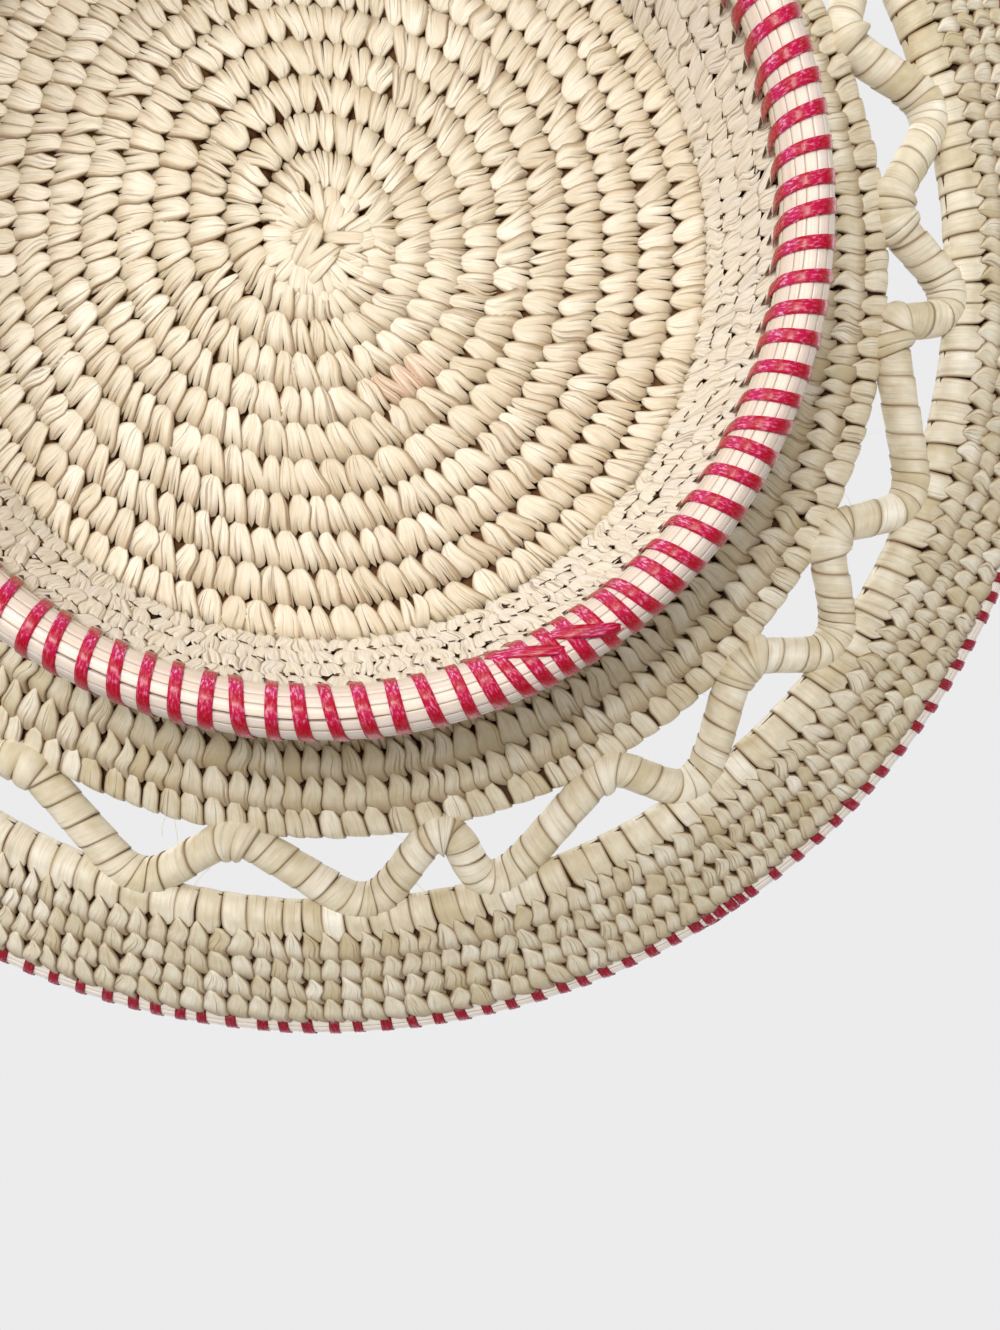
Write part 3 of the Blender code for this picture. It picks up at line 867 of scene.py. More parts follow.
def edge_wraps(**settings):
    """Strips right round the rows beside the openwork, from one face to the other."""
    values = {"kinds": (1.0, 0.0, 0.0), "samples": 26, "start_round": 0.03, "point": 0.02,
              "notch": (0.1, 0.15), "taper": (0.9, 1.0), "slant": (-0.4, 0.1),
              "sway": (-0.05, 0.02), "crown": (0.3 * MM, 0.1 * MM),
              "tilt": (-0.22 * MM, 0.06 * MM), "cover": 1.04, "uneven": 0.3,
              "edge_shade": 1.0, "far_shade": 0.0}
    values.update(settings)
    return StripStyle(EDGE_WRAP, EDGE_OUTLINE, **values)


def run_of_strips(line, start, end, width, pitch, style, rng):
    """Strips side by side from start to end along a line."""
    middles, widths, splits = spaced(line, start, end, width, style, pitch, rng)
    return lay_strips(line, middles, widths, pitch, style, rng, splits)


def both_faces(line, start, end, width, pitch, style, rng):
    """Stitches on the face that is seen from below, and on the other one."""
    return [run_of_strips(line, start, end, width, pitch, one, rng)
            for one in (style, turned_over(style))]


def turned_over(style):
    """The same strips on the other face: their slant is mirrored there."""
    made = copy.copy(style)
    made.curve = style.curve * (1, -1)
    made.normal = style.normal * (1, -1)
    made.slant = (-style.slant[0], style.slant[1])
    made.sway = (-style.sway[0], style.sway[1])
    return made


# Materials

def feed(tree, socket, value):
    """Gives an input a value, or links it to another node's output."""
    if isinstance(value, bpy.types.NodeSocket):
        tree.links.new(value, socket)
    else:
        socket.default_value = value


def add(tree, kind, inputs=None, **settings):
    """A node with some of its settings, and with values or other nodes' outputs for its inputs."""
    node = tree.nodes.new(kind)
    for name, value in settings.items():
        setattr(node, name, value)
    for name, value in (inputs or {}).items():
        feed(tree, node.inputs[name], value)
    return node


def mix(tree, factor, first, second):
    """A mix of two colours, by a factor that is kept between 0 and 1."""
    node = add(tree, "ShaderNodeMix", {0: factor, 6: first, 7: second},
               data_type="RGBA", clamp_factor=True)
    return node.outputs[2]


def math_node(tree, operation, *values):
    node = add(tree, "ShaderNodeMath", dict(enumerate(values)), operation=operation)
    return node.outputs[0]


def spread_range(tree, value, low, high, to_low=0.0, to_high=1.0):
    node = add(tree, "ShaderNodeMapRange", {"Value": value, "From Min": low, "From Max": high,
                                            "To Min": to_low, "To Max": to_high})
    return node.outputs["Result"]


def noise(tree, place, waves, detail=2.0, roughness=0.5):
    """Noise with a number of waves per unit of place in each direction."""
    scaled = add(tree, "ShaderNodeVectorMath", {0: place, 1: waves}, operation="MULTIPLY")
    node = add(tree, "ShaderNodeTexNoise", {"Vector": scaled.outputs[0], "Scale": 1.0,
                                            "Detail": detail, "Roughness": roughness})
    return node.outputs["Fac"]


def new_group(name, inputs, outputs):
    """An empty node group with named sockets. Inputs are (name, kind, default)."""
    tree = bpy.data.node_groups.new(name, "ShaderNodeTree")
    for socket_name, kind, default in inputs:
        socket = tree.interface.new_socket(socket_name, in_out="INPUT", socket_type=kind)
        if default is not None:
            socket.default_value = default
    for socket_name, kind in outputs:
        tree.interface.new_socket(socket_name, in_out="OUTPUT", socket_type=kind)
    given = tree.nodes.new("NodeGroupInput").outputs
    result = tree.nodes.new("NodeGroupOutput").inputs
    return tree, given, result


FLOAT, VECTOR, COLOUR = "NodeSocketFloat", "NodeSocketVector", "NodeSocketColor"


def leaf_group():
    """Leaf strip: fine fibres along it, patches of tone, stains, and painted brown shade in
    crevices.
    """
    found = bpy.data.node_groups.get("Leaf Strip")
    if found:
        return found
    tree, given, result = new_group(
        "Leaf Strip",
        (("Place", VECTOR, None), ("Looks", VECTOR, None), ("Leaf", COLOUR, None),
         ("Pale Leaf", COLOUR, None), ("Fibre", COLOUR, None), ("Crevice Shade", COLOUR, None),
         ("Stain", COLOUR, None), ("Fibre Strength", FLOAT, 0.5), ("Crack Strength", FLOAT, 0.5)),
        (("Colour", COLOUR), ("Roughness", FLOAT), ("Height", FLOAT)))
    looks = add(tree, "ShaderNodeSeparateXYZ", {0: given["Looks"]}).outputs
    fine = noise(tree, given["Place"], (3.4, 0.12, 7.3), 3.0, 0.6)
    broad = noise(tree, given["Place"], (1.1, 0.16, 3.1))
    patch = noise(tree, given["Place"], (0.25, 0.22, 1.7))
    toned = math_node(tree, "ADD", math_node(tree, "MULTIPLY", looks[0], 0.5), 0.45)
    toned = math_node(tree, "ADD", toned, spread_range(tree, patch, 0.3, 0.7, -0.25, 0.25))
    colour = mix(tree, toned, given["Leaf"], given["Pale Leaf"])
    lines = spread_range(tree, fine, 0.46, 0.74)
    lines = math_node(tree, "MULTIPLY", lines, given["Fibre Strength"])
    colour = mix(tree, lines, colour, given["Fibre"])
    warm = math_node(tree, "MULTIPLY", spread_range(tree, broad, 0.48, 0.75), 0.28)
    colour = mix(tree, warm, colour, given["Fibre"])
    thin = noise(tree, given["Place"], (1.5, 0.05, 5.9), 2.0, 0.6)
    cracked = math_node(tree, "MULTIPLY", spread_range(tree, thin, 0.6, 0.66),
                        given["Crack Strength"])
    colour = mix(tree, cracked, colour, given["Crevice Shade"])
    # Painted shade: leaf that lies down in a crevice is warmed towards the fibre colour, then
    # darkened towards the crevice shade.
    shade_tint = math_node(tree, "MULTIPLY", spread_range(tree, looks[2], 0.02, 0.4), 0.4)
    colour = mix(tree, shade_tint, colour, given["Fibre"])
    stained = math_node(tree, "MULTIPLY", looks[1], spread_range(tree, fine, 0.42, 0.58, 0.05, 0.7))
    colour = mix(tree, stained, colour, given["Stain"])
    # Painted shade, darker by how far down the leaf lies.
    deep = math_node(tree, "POWER", looks[2], 1.6)
    deep = math_node(tree, "MULTIPLY", deep, 0.9)
    colour = mix(tree, deep, colour, given["Crevice Shade"])
    tree.links.new(colour, result["Colour"])
    rough = spread_range(tree, fine, 0.3, 0.7, 0.5, 0.66)
    tree.links.new(rough, result["Roughness"])
    ridge = math_node(tree, "ADD", fine, math_node(tree, "MULTIPLY", broad, 0.8))
    tree.links.new(ridge, result["Height"])
    return tree


def attribute(tree, name):
    return add(tree, "ShaderNodeAttribute", attribute_name=name).outputs["Vector"]


def rgba(colour):
    return (*colour, 1.0)


def new_material(name):
    made = bpy.data.materials.new(name)
    made.use_nodes = True
    return made, made.node_tree, made.node_tree.nodes["Principled BSDF"]


def dress(tree, shader, colour, roughness, height, strength, distance):
    """Gives a shader its colour, roughness and bump."""
    bump = add(tree, "ShaderNodeBump", {"Height": height, "Strength": strength,
                                        "Distance": distance})
    feed(tree, shader.inputs["Base Color"], colour)
    feed(tree, shader.inputs["Roughness"], roughness)
    feed(tree, shader.inputs["Normal"], bump.outputs["Normal"])


def leaf_material(name, leaf, fibre_strength=0.5, crack_strength=0.5):
    colours = bpy.context.scene.basket_colours
    made, tree, shader = new_material(name)
    values = {"Place": attribute(tree, "strip_place"), "Looks": attribute(tree, "strip_looks"),
              "Leaf": rgba(leaf), "Pale Leaf": rgba(colours.pale_leaf),
              "Fibre": rgba(colours.fibre), "Crevice Shade": rgba(colours.crevice_shade),
              "Stain": rgba(colours.stain), "Fibre Strength": fibre_strength,
              "Crack Strength": crack_strength}
    group = add(tree, "ShaderNodeGroup", values, node_tree=leaf_group())
    colour, roughness, height = group.outputs
    dress(tree, shader, colour, roughness, height, 0.35, 0.3 * MM)
    made.diffuse_color = rgba(leaf)
    return made


def core_material(shade):
    """Stems in the coils. Shade is 1 for stems near the light, less for deeper ones."""
    colours = bpy.context.scene.basket_colours
    made, tree, shader = new_material("coil_core")
    place = attribute(tree, "strip_place")
    grain = noise(tree, place, (6.0, 0.4, 1.0), 3.0)
    # Painted shade: the stems take the crevice shade colour, scaled darker by shade for those
    # further from the light.
    dark, light = (tuple(value * part * shade for value in colours.crevice_shade) for part in (0.6, 1.1))
    colour = mix(tree, spread_range(tree, grain, 0.35, 0.7), rgba(dark), rgba(light))
    dress(tree, shader, colour, 0.8, grain, 0.5, 0.5 * MM)
    return made


def stem_material():
    colours = bpy.context.scene.basket_colours
    made, tree, shader = new_material("bare_stems")
    place = attribute(tree, "strip_place")
    looks = add(tree, "ShaderNodeSeparateXYZ", {0: attribute(tree, "strip_looks")}).outputs
    grain = noise(tree, place, (2.0, 0.012, 5.0))
    tone = math_node(tree, "ADD", spread_range(tree, grain, 0.4, 0.8, 0.0, 0.6),
                     math_node(tree, "MULTIPLY", looks[0], 0.16))
    colour = mix(tree, tone, rgba(colours.stem), rgba(colours.stem_shade))
    # Painted shade in the seams and the open groove between stems.
    colour = mix(tree, math_node(tree, "MULTIPLY", looks[2], 0.8), colour, rgba(colours.crevice_shade))
    roughness = spread_range(tree, grain, 0.3, 0.7, 0.4, 0.55)
    dress(tree, shader, colour, roughness, grain, 0.2, 0.2 * MM)
    return made


def ribbon_material(name, red, wear_and_highlight=1.0):
    """Red plastic ribbon, thin and scratched where it bends, and given a painted highlight there.
    Wear and highlight is 1 where they show most.
    """
    colours = bpy.context.scene.basket_colours
    made, tree, shader = new_material(name)
    place = attribute(tree, "strip_place")
    looks = add(tree, "ShaderNodeSeparateXYZ", {0: attribute(tree, "strip_looks")}).outputs
    patch = noise(tree, place, (0.5, 0.35, 3.7), 3.0)
    # Partly stretch marks, partly painted highlight: a paler magenta red on the bends.
    thin = spread_range(tree, patch, 0.35, 0.65, 0.5 * wear_and_highlight, wear_and_highlight)
    thin = math_node(tree, "MULTIPLY", looks[1], thin)
    colour = mix(tree, thin, rgba(red), rgba(colours.ribbon_thin_and_highlight))
    scratch = noise(tree, place, (2.6, 1.0, 2.9), 3.0, 0.6)
    # Partly scratches, partly painted glints: near white streaks on the bends.
    worn_and_highlight = math_node(tree, "MULTIPLY", spread_range(tree, scratch, 0.53, 0.63),
                     spread_range(tree, looks[1], 0.0, 1.0, 0.05, 0.9 * wear_and_highlight))
    colour = mix(tree, worn_and_highlight, colour, rgba(colours.ribbon_worn_and_highlight))
    roughness = spread_range(tree, scratch, 0.35, 0.7, 0.2, 0.42)
    dress(tree, shader, colour, roughness, scratch, 0.4, 0.3 * MM)
    shader.inputs["Specular IOR Level"].default_value = 0.3
    shader.inputs["Coat Weight"].default_value = 0.15
    shader.inputs["Coat Roughness"].default_value = 0.12
    return made


def fit(piece, slot, *nodes):
    """Lets a piece ride with the basket, in place of some nodes. Its slot is not used."""
    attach(piece, BODY)
    if nodes:
        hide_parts(*nodes)


# Pieces

class BasketOperator(bpy.types.Operator):
    """Shared by the operators of the basket."""

    bl_options = {"REGISTER", "UNDO"}

    @property
    def sizes(self):
        return bpy.context.scene.basket_sizes

    @property
    def colours(self):
        return bpy.context.scene.basket_colours


class BASKET_OT_base(BasketOperator):
    """Make the stitched rows of the round base"""

    bl_idname = "basket.base"
    bl_label = "Base"

    def execute(self, context):
        rng = np.random.default_rng(11)
        line = tray_line()
        start = distance_at(line, -WIDEST_SEAM / 4)
        end = distance_at(line, 360 * BASE_ROWS)
        leaf = leaf_material("base_leaf", self.colours.base_leaf)
        style = petals(distance_at(line, STAINED_STRIP))
        lots = both_faces(line, start, end, self.sizes.base_stitch, BASE_PITCH, style, rng)
        fit(make_mesh("base_stitches", lots[:1], leaf), "base_straw", "base_coil")
        fit(make_mesh("base_stitches_top", lots[1:], leaf), "base_straw")
        stems = core(line, 0.0, end, BASE_PITCH, samples=900, size=0.6, squash=0.7)
        fit(make_mesh("base_core", [stems], core_material(1.0)), "base_straw")
        return {"FINISHED"}


class BASKET_OT_inner_band(BasketOperator):
    """Make the stitched rows between the base and the openwork"""

    bl_idname = "basket.inner_band"
    bl_label = "Inner band"

    def execute(self, context):
        rng = np.random.default_rng(23)
        line = tray_line()
        start = distance_at(line, 360 * BASE_ROWS)
        last_row = distance_at(line, 360 * (BASE_ROWS + INNER_ROWS - 1))
        leaf = leaf_material("brim_leaf_and_shade", self.colours.brim_leaf_and_shade)
        long_end = distance_at(line, 360 * (BASE_ROWS + LONG_STRIP_ROWS))
        width = self.sizes.band_stitch
        inner = both_faces(line, start, long_end, width, INNER_PITCH, long_strips(), rng)
        outer = both_faces(line, long_end, last_row, width, INNER_PITCH, scales(), rng)
        below, above = zip(inner, outer)
        fit(make_mesh("inner_band_stitches", below, leaf), "brim_straw", "brim_inner_coil")
        fit(make_mesh("inner_band_stitches_top", above, leaf), "brim_straw")
        wraps = run_of_strips(line, last_row, line.length, self.sizes.edge_stitch, INNER_PITCH,
                              edge_wraps(), rng)
        fit(make_mesh("inner_band_edge", [wraps], leaf), "brim_straw")
        stems = core(line, start, line.length, INNER_PITCH, samples=1000)
        fit(make_mesh("inner_band_core", [stems], core_material(0.6)), "brim_straw")
        return {"FINISHED"}


class BASKET_OT_outer_band(BasketOperator):
    """Make the stitched rows outside the openwork"""

    bl_idname = "basket.outer_band"
    bl_label = "Outer band"

    def execute(self, context):
        rng = np.random.default_rng(37)
        line = outer_line()
        second_row = distance_at(line, 360)
        leaf = leaf_material("brim_leaf_and_shade", self.colours.brim_leaf_and_shade)
        lots = both_faces(line, second_row, line.length, self.sizes.band_stitch, OUTER_PITCH,
                          scales(), rng)
        fit(make_mesh("outer_band_stitches", lots[:1], leaf), "brim_straw", "brim_outer_coil")
        fit(make_mesh("outer_band_stitches_top", lots[1:], leaf), "brim_straw")
        edge = edge_wraps(crown=(0.08 * MM, 0.05 * MM), tilt=(0.08 * MM, 0.03 * MM))
        edge.curve, edge.normal = -edge.curve, -edge.normal  # round the side beside the openwork
        wraps = run_of_strips(line, 0.0, second_row, self.sizes.zigzag_wrap, OUTER_PITCH,
                              edge, rng)
        smooth_leaf = leaf_material("outer_edge_leaf", self.colours.brim_leaf_and_shade, 0.35, 0.2)
        fit(make_mesh("outer_band_edge", [wraps], smooth_leaf), "brim_straw")
        stems = core(line, 0.0, line.length, OUTER_PITCH, samples=1100)
        fit(make_mesh("outer_band_core", [stems], core_material(0.6)), "brim_straw")
        return {"FINISHED"}


class BASKET_OT_foot(BasketOperator):
    """Make the stitched rows of the foot's wall"""

    bl_idname = "basket.foot"
    bl_label = "Foot"

    def execute(self, context):
        rng = np.random.default_rng(41)
        line = foot_line()
        leaf = leaf_material("lit_foot_leaf", self.colours.lit_foot_leaf)
        width = self.sizes.foot_stitch
        lots = both_faces(line, 0.0, line.length, width, FOOT_PITCH, wall_strips(), rng)
        fit(make_mesh("foot_stitches_inside", lots[:1], leaf), "foot_straw", "foot_coil")
        fit(make_mesh("foot_stitches_outside", lots[1:], leaf), "foot_straw")
        stems = core(line, 0.0, line.length, FOOT_PITCH, samples=600)
        middles = np.arange(width, line.length - width, width)
        slits = [wall_slits(line, middles, width, FOOT_PITCH, over, rng) for over in (False, True)]
        fit(make_mesh("foot_core", [stems, *slits], core_material(0.8)), "foot_straw")
        return {"FINISHED"}


BINDING_COUNTS = (1, 4)        # a corner is bound by at least 1 strip and by fewer than 4
BINDING_WIDTHS = (3.2 * MM, 4.8 * MM)
BINDING_OVERLAP = 0.85         # from strip to strip, as a share of their mean width
BINDING_SHIFT = 0.5            # millimetres along the line, at most, either way
BINDING_REACH = 0.56           # from the zigzag's middle, in shares of its size
BINDING_GAP = 0.5              # radians from the middle of the tray side to a strip's ends


def corner_bindings(line, rng):
    """Short strips that bind the zigzag at its inner corners, in uneven lots."""
    apart = BINDING_OVERLAP * sum(BINDING_WIDTHS) / 2
    middles = []
    for corner in line.corners[::2]:
        count = rng.integers(*BINDING_COUNTS)
        first = corner - 0.5 * (count - 1) * apart
        for index in range(count):
            shift = rng.uniform(-BINDING_SHIFT, BINDING_SHIFT) * MM
            middles.append(first + index * apart + shift)
    turn = np.linspace(BINDING_GAP, 2 * math.pi - BINDING_GAP, 20)
    section = [(-BINDING_REACH * math.sin(angle), -BINDING_REACH * math.cos(angle))
               for angle in turn]
    style = StripStyle(section, PLAIN_OUTLINE, kinds=(0.5, 0.35, 0.15), samples=20,
                       start_round=0.04, point=0.02, notch=(0.5, 0.9), taper=(0.8, 1.0),
                       slant=(0.12, 0.3), sway=(0.0, 0.06), crown=(0.7 * MM, 0.15 * MM),
                       tilt=(0.0, 0.15 * MM), skirt=0.8 * MM, length_spread=0.02,
                       edge_shade=1.0, far_shade=0.1)
    widths = rng.uniform(*BINDING_WIDTHS, size=len(middles))
    return lay_strips(line, np.array(middles), widths, ZIGZAG_SIZE, style, rng)


def halved_near(middles, widths, places, reach):
    """The strips with those that lie near some places along a line made into two each."""
    near = np.abs(middles[:, None] - np.array(places)).min(axis=1) < reach
    parts = 1 + near
    offset = np.concatenate([(-0.25, 0.25) if one else (0.0,) for one in near])
    widths, parts = np.repeat(widths, parts), np.repeat(parts, parts)
    return np.repeat(middles, 1 + near) + offset * widths, widths / parts


class BASKET_OT_openwork(BasketOperator):
    """Make the wrapped zigzag of the openwork, and the strips that bind its corners"""

    bl_idname = "basket.openwork"
    bl_label = "Openwork"

    def execute(self, context):
        rng = np.random.default_rng(53)
        line = zigzag_line()
        leaf = leaf_material("openwork_leaf", self.colours.brim_leaf_and_shade, 0.3, 0.15)
        section = [(-0.5 * math.sin(angle), -0.5 * math.cos(angle))
                   for angle in np.linspace(*ZIGZAG_WRAP_ENDS, 24)]
        style = StripStyle(section, PLAIN_OUTLINE, kinds=(1.0, 0.0, 0.0), samples=22,
                           start_round=0.0, point=0.0, notch=(0.1, 0.1), taper=(1.0, 1.0),
                           slant=(self.sizes.zigzag_wrap / ZIGZAG_SIZE, 0.06),
                           sway=(0.0, 0.01), crown=(0.05 * MM, 0.03 * MM),
                           tilt=(0.12 * MM, 0.04 * MM), skirt=0.3 * MM, cover=1.06,
                           uneven=0.45, length_spread=0.0, edge_shade=1.0, far_shade=0.0)
        middles, widths, _ = spaced(line, 0.0, line.length, self.sizes.zigzag_wrap, style,
                                    ZIGZAG_SIZE, rng)
        middles, widths = halved_near(middles, widths, line.corners[1::2], ZIGZAG_HALVED)
        wraps = lay_strips(line, middles, widths, ZIGZAG_SIZE, style, rng)
        fit(make_mesh("zigzag_wraps", [wraps], leaf), "brim_straw", "openwork_zigzag")
        bindings = corner_bindings(line, rng)
        fit(make_mesh("corner_bindings", [bindings], leaf), "brim_straw")
        return {"FINISHED"}


WANDER_WAVES = 9


def wander(count, samples, amount, rng):
    """Smooth closed runs of small offsets, one run for each of count stems."""
    share = np.arange(samples) / samples * 2 * math.pi
    runs = np.zeros((count, samples))
    for wave in range(1, WANDER_WAVES + 1):
        phase = rng.uniform(0, 2 * math.pi, (count, 1))
        strength = rng.normal(size=(count, 1))
        runs += strength * np.sin(wave * share + phase) / math.sqrt(WANDER_WAVES)
    return amount * runs


STEM_WIDTHS = (0.35, 1.65)     # shares of the mean width, from and to
STEM_WANDER = 0.03             # radians that the seams stray
STEM_WAVES = 0.05 * MM         # that a stem's surface strays
FOOT_STEM_SAMPLES = 360        # points along the foot's bundle
RIM_STEM_SAMPLES = 480

# Points across a stem, as shares of its width, with how far each lies in and how much painted
# shade it takes at the seam
STEM_SHARES = (0.0, 0.05, 0.11, 0.3, 0.7, 0.89, 0.95)
STEM_DROPS = (0.3 * MM, 0.06 * MM, 0.01 * MM, 0.0, 0.0, 0.01 * MM, 0.06 * MM)
STEM_SEAM_SHADES = (0.95, 0.1, 0.0, 0.0, 0.0, 0.0, 0.1)
GROOVE_HALF = 0.26 * MM        # half of its width
GROOVE_SIDE = 0.02             # radians from its edge to the next point of a stem
GROOVE_DEPTH = 1.3 * MM
# Painted shade in the open seam
GROOVE_SHADE = 0.8
GROOVE_FADE = 12               # degrees over which it opens


def stem_bundle(line, size, count, samples, groove, rng):
    """Flat bare stems side by side round a bundle, as one skin with a seam between two stems.

    The groove is an open seam: its angle in the section, and from and to degrees round the axis.
    """
    widths = rng.uniform(*STEM_WIDTHS, count)
    seams = np.cumsum(widths) * 2 * math.pi / widths.sum()
    opened = int(np.argmin(np.abs(seams - math.radians(groove[0]))))
    seams = seams + math.radians(groove[0]) - seams[opened]
    seams = (seams[:, None] + wander(count, samples, STEM_WANDER, rng)).T
    following = np.roll(seams, -1, axis=1)
    following[:, -1] += 2 * math.pi
    share = np.array(STEM_SHARES)
    turn = seams[:, :, None] + (following - seams)[:, :, None] * share
    reach = size - np.array(STEM_DROPS) * np.ones_like(turn)
    reach = reach + wander(count, samples, STEM_WAVES, rng).T[:, :, None] * (share > 0)
    # Painted shade at the seams between stems, more in the open groove
    deep = np.array(STEM_SEAM_SHADES) * np.ones_like(turn)
    round_axis = np.linspace(0, 360, samples, endpoint=False)
    window = smooth_step((round_axis - groove[1]) / GROOVE_FADE)
    window = window * smooth_step((groove[2] - round_axis) / GROOVE_FADE)
    half_gap = GROOVE_HALF / size * window
    for point, apart in ((1, half_gap), (2, half_gap + GROOVE_SIDE)):
        past, short = turn[:, opened, 0] + apart, turn[:, opened, 0] - apart
        turn[:, opened, point] = np.maximum(turn[:, opened, point], past)
        turn[:, opened - 1, -point] = np.minimum(turn[:, opened - 1, -point], short)
    reach[:, opened, 0] -= GROOVE_DEPTH * window
    deep[:, opened, 0] += GROOVE_SHADE * window
    turn, reach, deep = (values.reshape(samples, -1) for values in (turn, reach, deep))
    middle, out, face, _ = line.frame(np.linspace(0, line.length, samples, endpoint=False))
    points = middle[:, None] + (reach * np.cos(turn))[..., None] * out[:, None]
    points = points + (reach * np.sin(turn))[..., None] * face[:, None]
    number = np.repeat(np.arange(count), len(share))[None] + 0 * turn
    along = (round_axis * line.length / 360 / MM)[:, None] + 0 * turn
    place = np.stack([turn * size / MM, along, number], -1)
    tone = np.sin(number * 12.9898)  # a different one for each stem
    looks = np.stack([tone, 0 * turn, deep], -1)
    return make_lot(points, place, looks, 1, samples, turn.shape[1], closed_rows=True,
                    closed_columns=True)


# Points across a ribbon, in shares of its half width, with how high each lies
RIBBON_ACROSS = (-1, -0.97, -0.5, 0, 0.5, 0.97, 1)
RIBBON_RISE = (0, 1, 1, 1.3, 1, 1, 0)
RIBBON_BUCKLE = 0.05 * MM      # that it rises and falls from place to place
RIBBON_WIDTHS = (0.9, 1.08)    # shares of its width that it is drawn in to or spread to

# Where it is stretched and scratched and takes a painted highlight: place and spread in shares
# of a turn, and strength
RIBBON_BENDS = ((0.3, 0.05, 1.0), (0.46, 0.04, 0.6))


def ribbon_on(line, section, runs, climbs, width, lift, rng):
    """Ribbons laid on the surface that a section makes when it goes along a line.

    runs and climbs are arrays of ribbon by sample: how far along the line and along the section
    each ribbon has got.
    """
    share, curve, normal = smooth_section(section, RIBBON_SECTION_SAMPLES)
    length = run_length(curve)
    count, samples = runs.shape
    run_step, climb_step = np.gradient(runs, axis=1), np.gradient(climbs, axis=1)
    size = np.hypot(run_step, climb_step)
    half = width / 2 * rng.uniform(*RIBBON_WIDTHS, count)[:, None, None] * RIBBON_ACROSS
    run = runs[:, :, None] + half * (climb_step / size)[:, :, None]
    climb = climbs[:, :, None] - half * (run_step / size)[:, :, None]
    along = np.clip(climb / length, 0, 1)
    x, y = (np.interp(along, share, curve[:, i]) for i in (0, 1))
    nx, ny = (np.interp(along, share, normal[:, i]) for i in (0, 1))
    phase = rng.uniform(0, 6, count)[:, None, None]
    raised = np.array(RIBBON_RISE) * lift + RIBBON_BUCKLE * np.sin(along * 31 + phase)
    middle, out, face, _ = line.frame(run)
    points = middle + (x + nx * raised)[..., None] * out + (y + ny * raised)[..., None] * face
    number = np.arange(count)[:, None, None] + 0 * along
    # Where the ribbon is stretched, scratched and given its painted highlight
    bend = sum(strength * np.exp(-((along - place) / spread) ** 2)
               for place, spread, strength in RIBBON_BENDS)
    place = np.stack([half + 0 * along, along * length, number * MM], -1) / MM
    looks = np.stack([0 * along, bend, 0 * along], -1)
    return make_lot(points, place, looks, count, samples, len(RIBBON_ACROSS))


UNEVEN_TURNS = (0.86, 1.14)    # shares of the pitch from turn to turn
UNEVEN_DENSE_TURNS = (0.9, 1.1)
LAST_TURN = 0.6                # share of the pitch that may be left before the first turn


def tie_places(line, turns, dense_span, dense_pitch, rng):
    """How far along a ring each turn of a ribbon crosses it, and the pitch outside the splice.

    The splice goes from one angle to another, and its turns are closer by the share dense_pitch.
    """
    degrees = line.length / 360
    low, high = (angle * degrees for angle in dense_span)
    loose = line.length - (high - low) + (high - low) / dense_pitch
    pitch = loose / turns
    places = [high]
    while places[-1] < low + line.length - LAST_TURN * pitch:
        places.append(places[-1] + pitch * rng.uniform(*UNEVEN_TURNS))
    while places[-1] < high + line.length - LAST_TURN * pitch * dense_pitch:
        places.append(places[-1] + pitch * dense_pitch * rng.uniform(*UNEVEN_DENSE_TURNS))
    return np.array(places), pitch


def section_length(section):
    return run_length(smooth_section(section, RIBBON_SECTION_SAMPLES)[1])


TURN_SAMPLES = 28              # points along one turn of a ribbon
LEAN_SPREAD = 0.25             # of the turns' lean
TURN_LIFT = 0.16 * MM          # of a ribbon over its section
HOLE_LIFT = 0.05 * MM
HOLE_SHIFT = 0.14              # of the pitch, that a hole's lower end lies ahead

# A hole in the foot's wall: depths below the bundle's surface, and heights
HOLE_SECTION = ((0.15 * MM, -7.4 * MM), (0.12 * MM, -6.0 * MM), (0.1 * MM, -4.3 * MM))
HOLE_WIDTHS = (0.05 * MM, 1.5 * MM)  # at its point, and how much it widens


def wound_ribbon(line, section, places, width, lean, rng):
    """Turns of a ribbon over a section. Lean is how far back a turn gets along the line."""
    climb = np.linspace(0, 1, TURN_SAMPLES)[None, :]
    lean = lean * (1 + LEAN_SPREAD * rng.normal(size=(len(places), 1)))
    runs = places[:, None] - lean * (climb - 0.5)
    climbs = climb * section_length(section) + 0 * runs
    return ribbon_on(line, section, runs, climbs, width, TURN_LIFT, rng)


def ribbon_holes(line, size, places, pitch, rng):
    """The pointed holes in the foot's wall that the ribbon's turns come out of, as dark sheets of
    painted shade.
    """
    section = [(-size - inward, face) for inward, face in HOLE_SECTION]
    share = np.linspace(0, 1, 6)
    runs = places[:, None] + pitch * (0.5 + HOLE_SHIFT * (1 - share))
    climbs = share * section_length(section) + 0 * runs
    width = (HOLE_WIDTHS[1] * share ** 0.8 + HOLE_WIDTHS[0])[None, :, None]
    return ribbon_on(line, section, runs, climbs, width, HOLE_LIFT, rng)


CROSSING_SAMPLES = 30
CROSSING_LIFT = 0.4 * MM       # of the middle of a crossing ribbon
CROSSING_TUCK = 0.9 * MM       # that its ends lie lower
CROSSING_TAPER = 0.8           # of its width, that its ends lose

# Each crossing ribbon: from and to degrees, from and to shares of the section, share of the width
FOOT_CROSSINGS = ((53.5, 61.5, 0.54, 0.3, 1.0), (60, 70, 0.46, 0.22, 0.9))
RIM_CROSSING = (54, 60, 0.7, 0.4, 1.0)


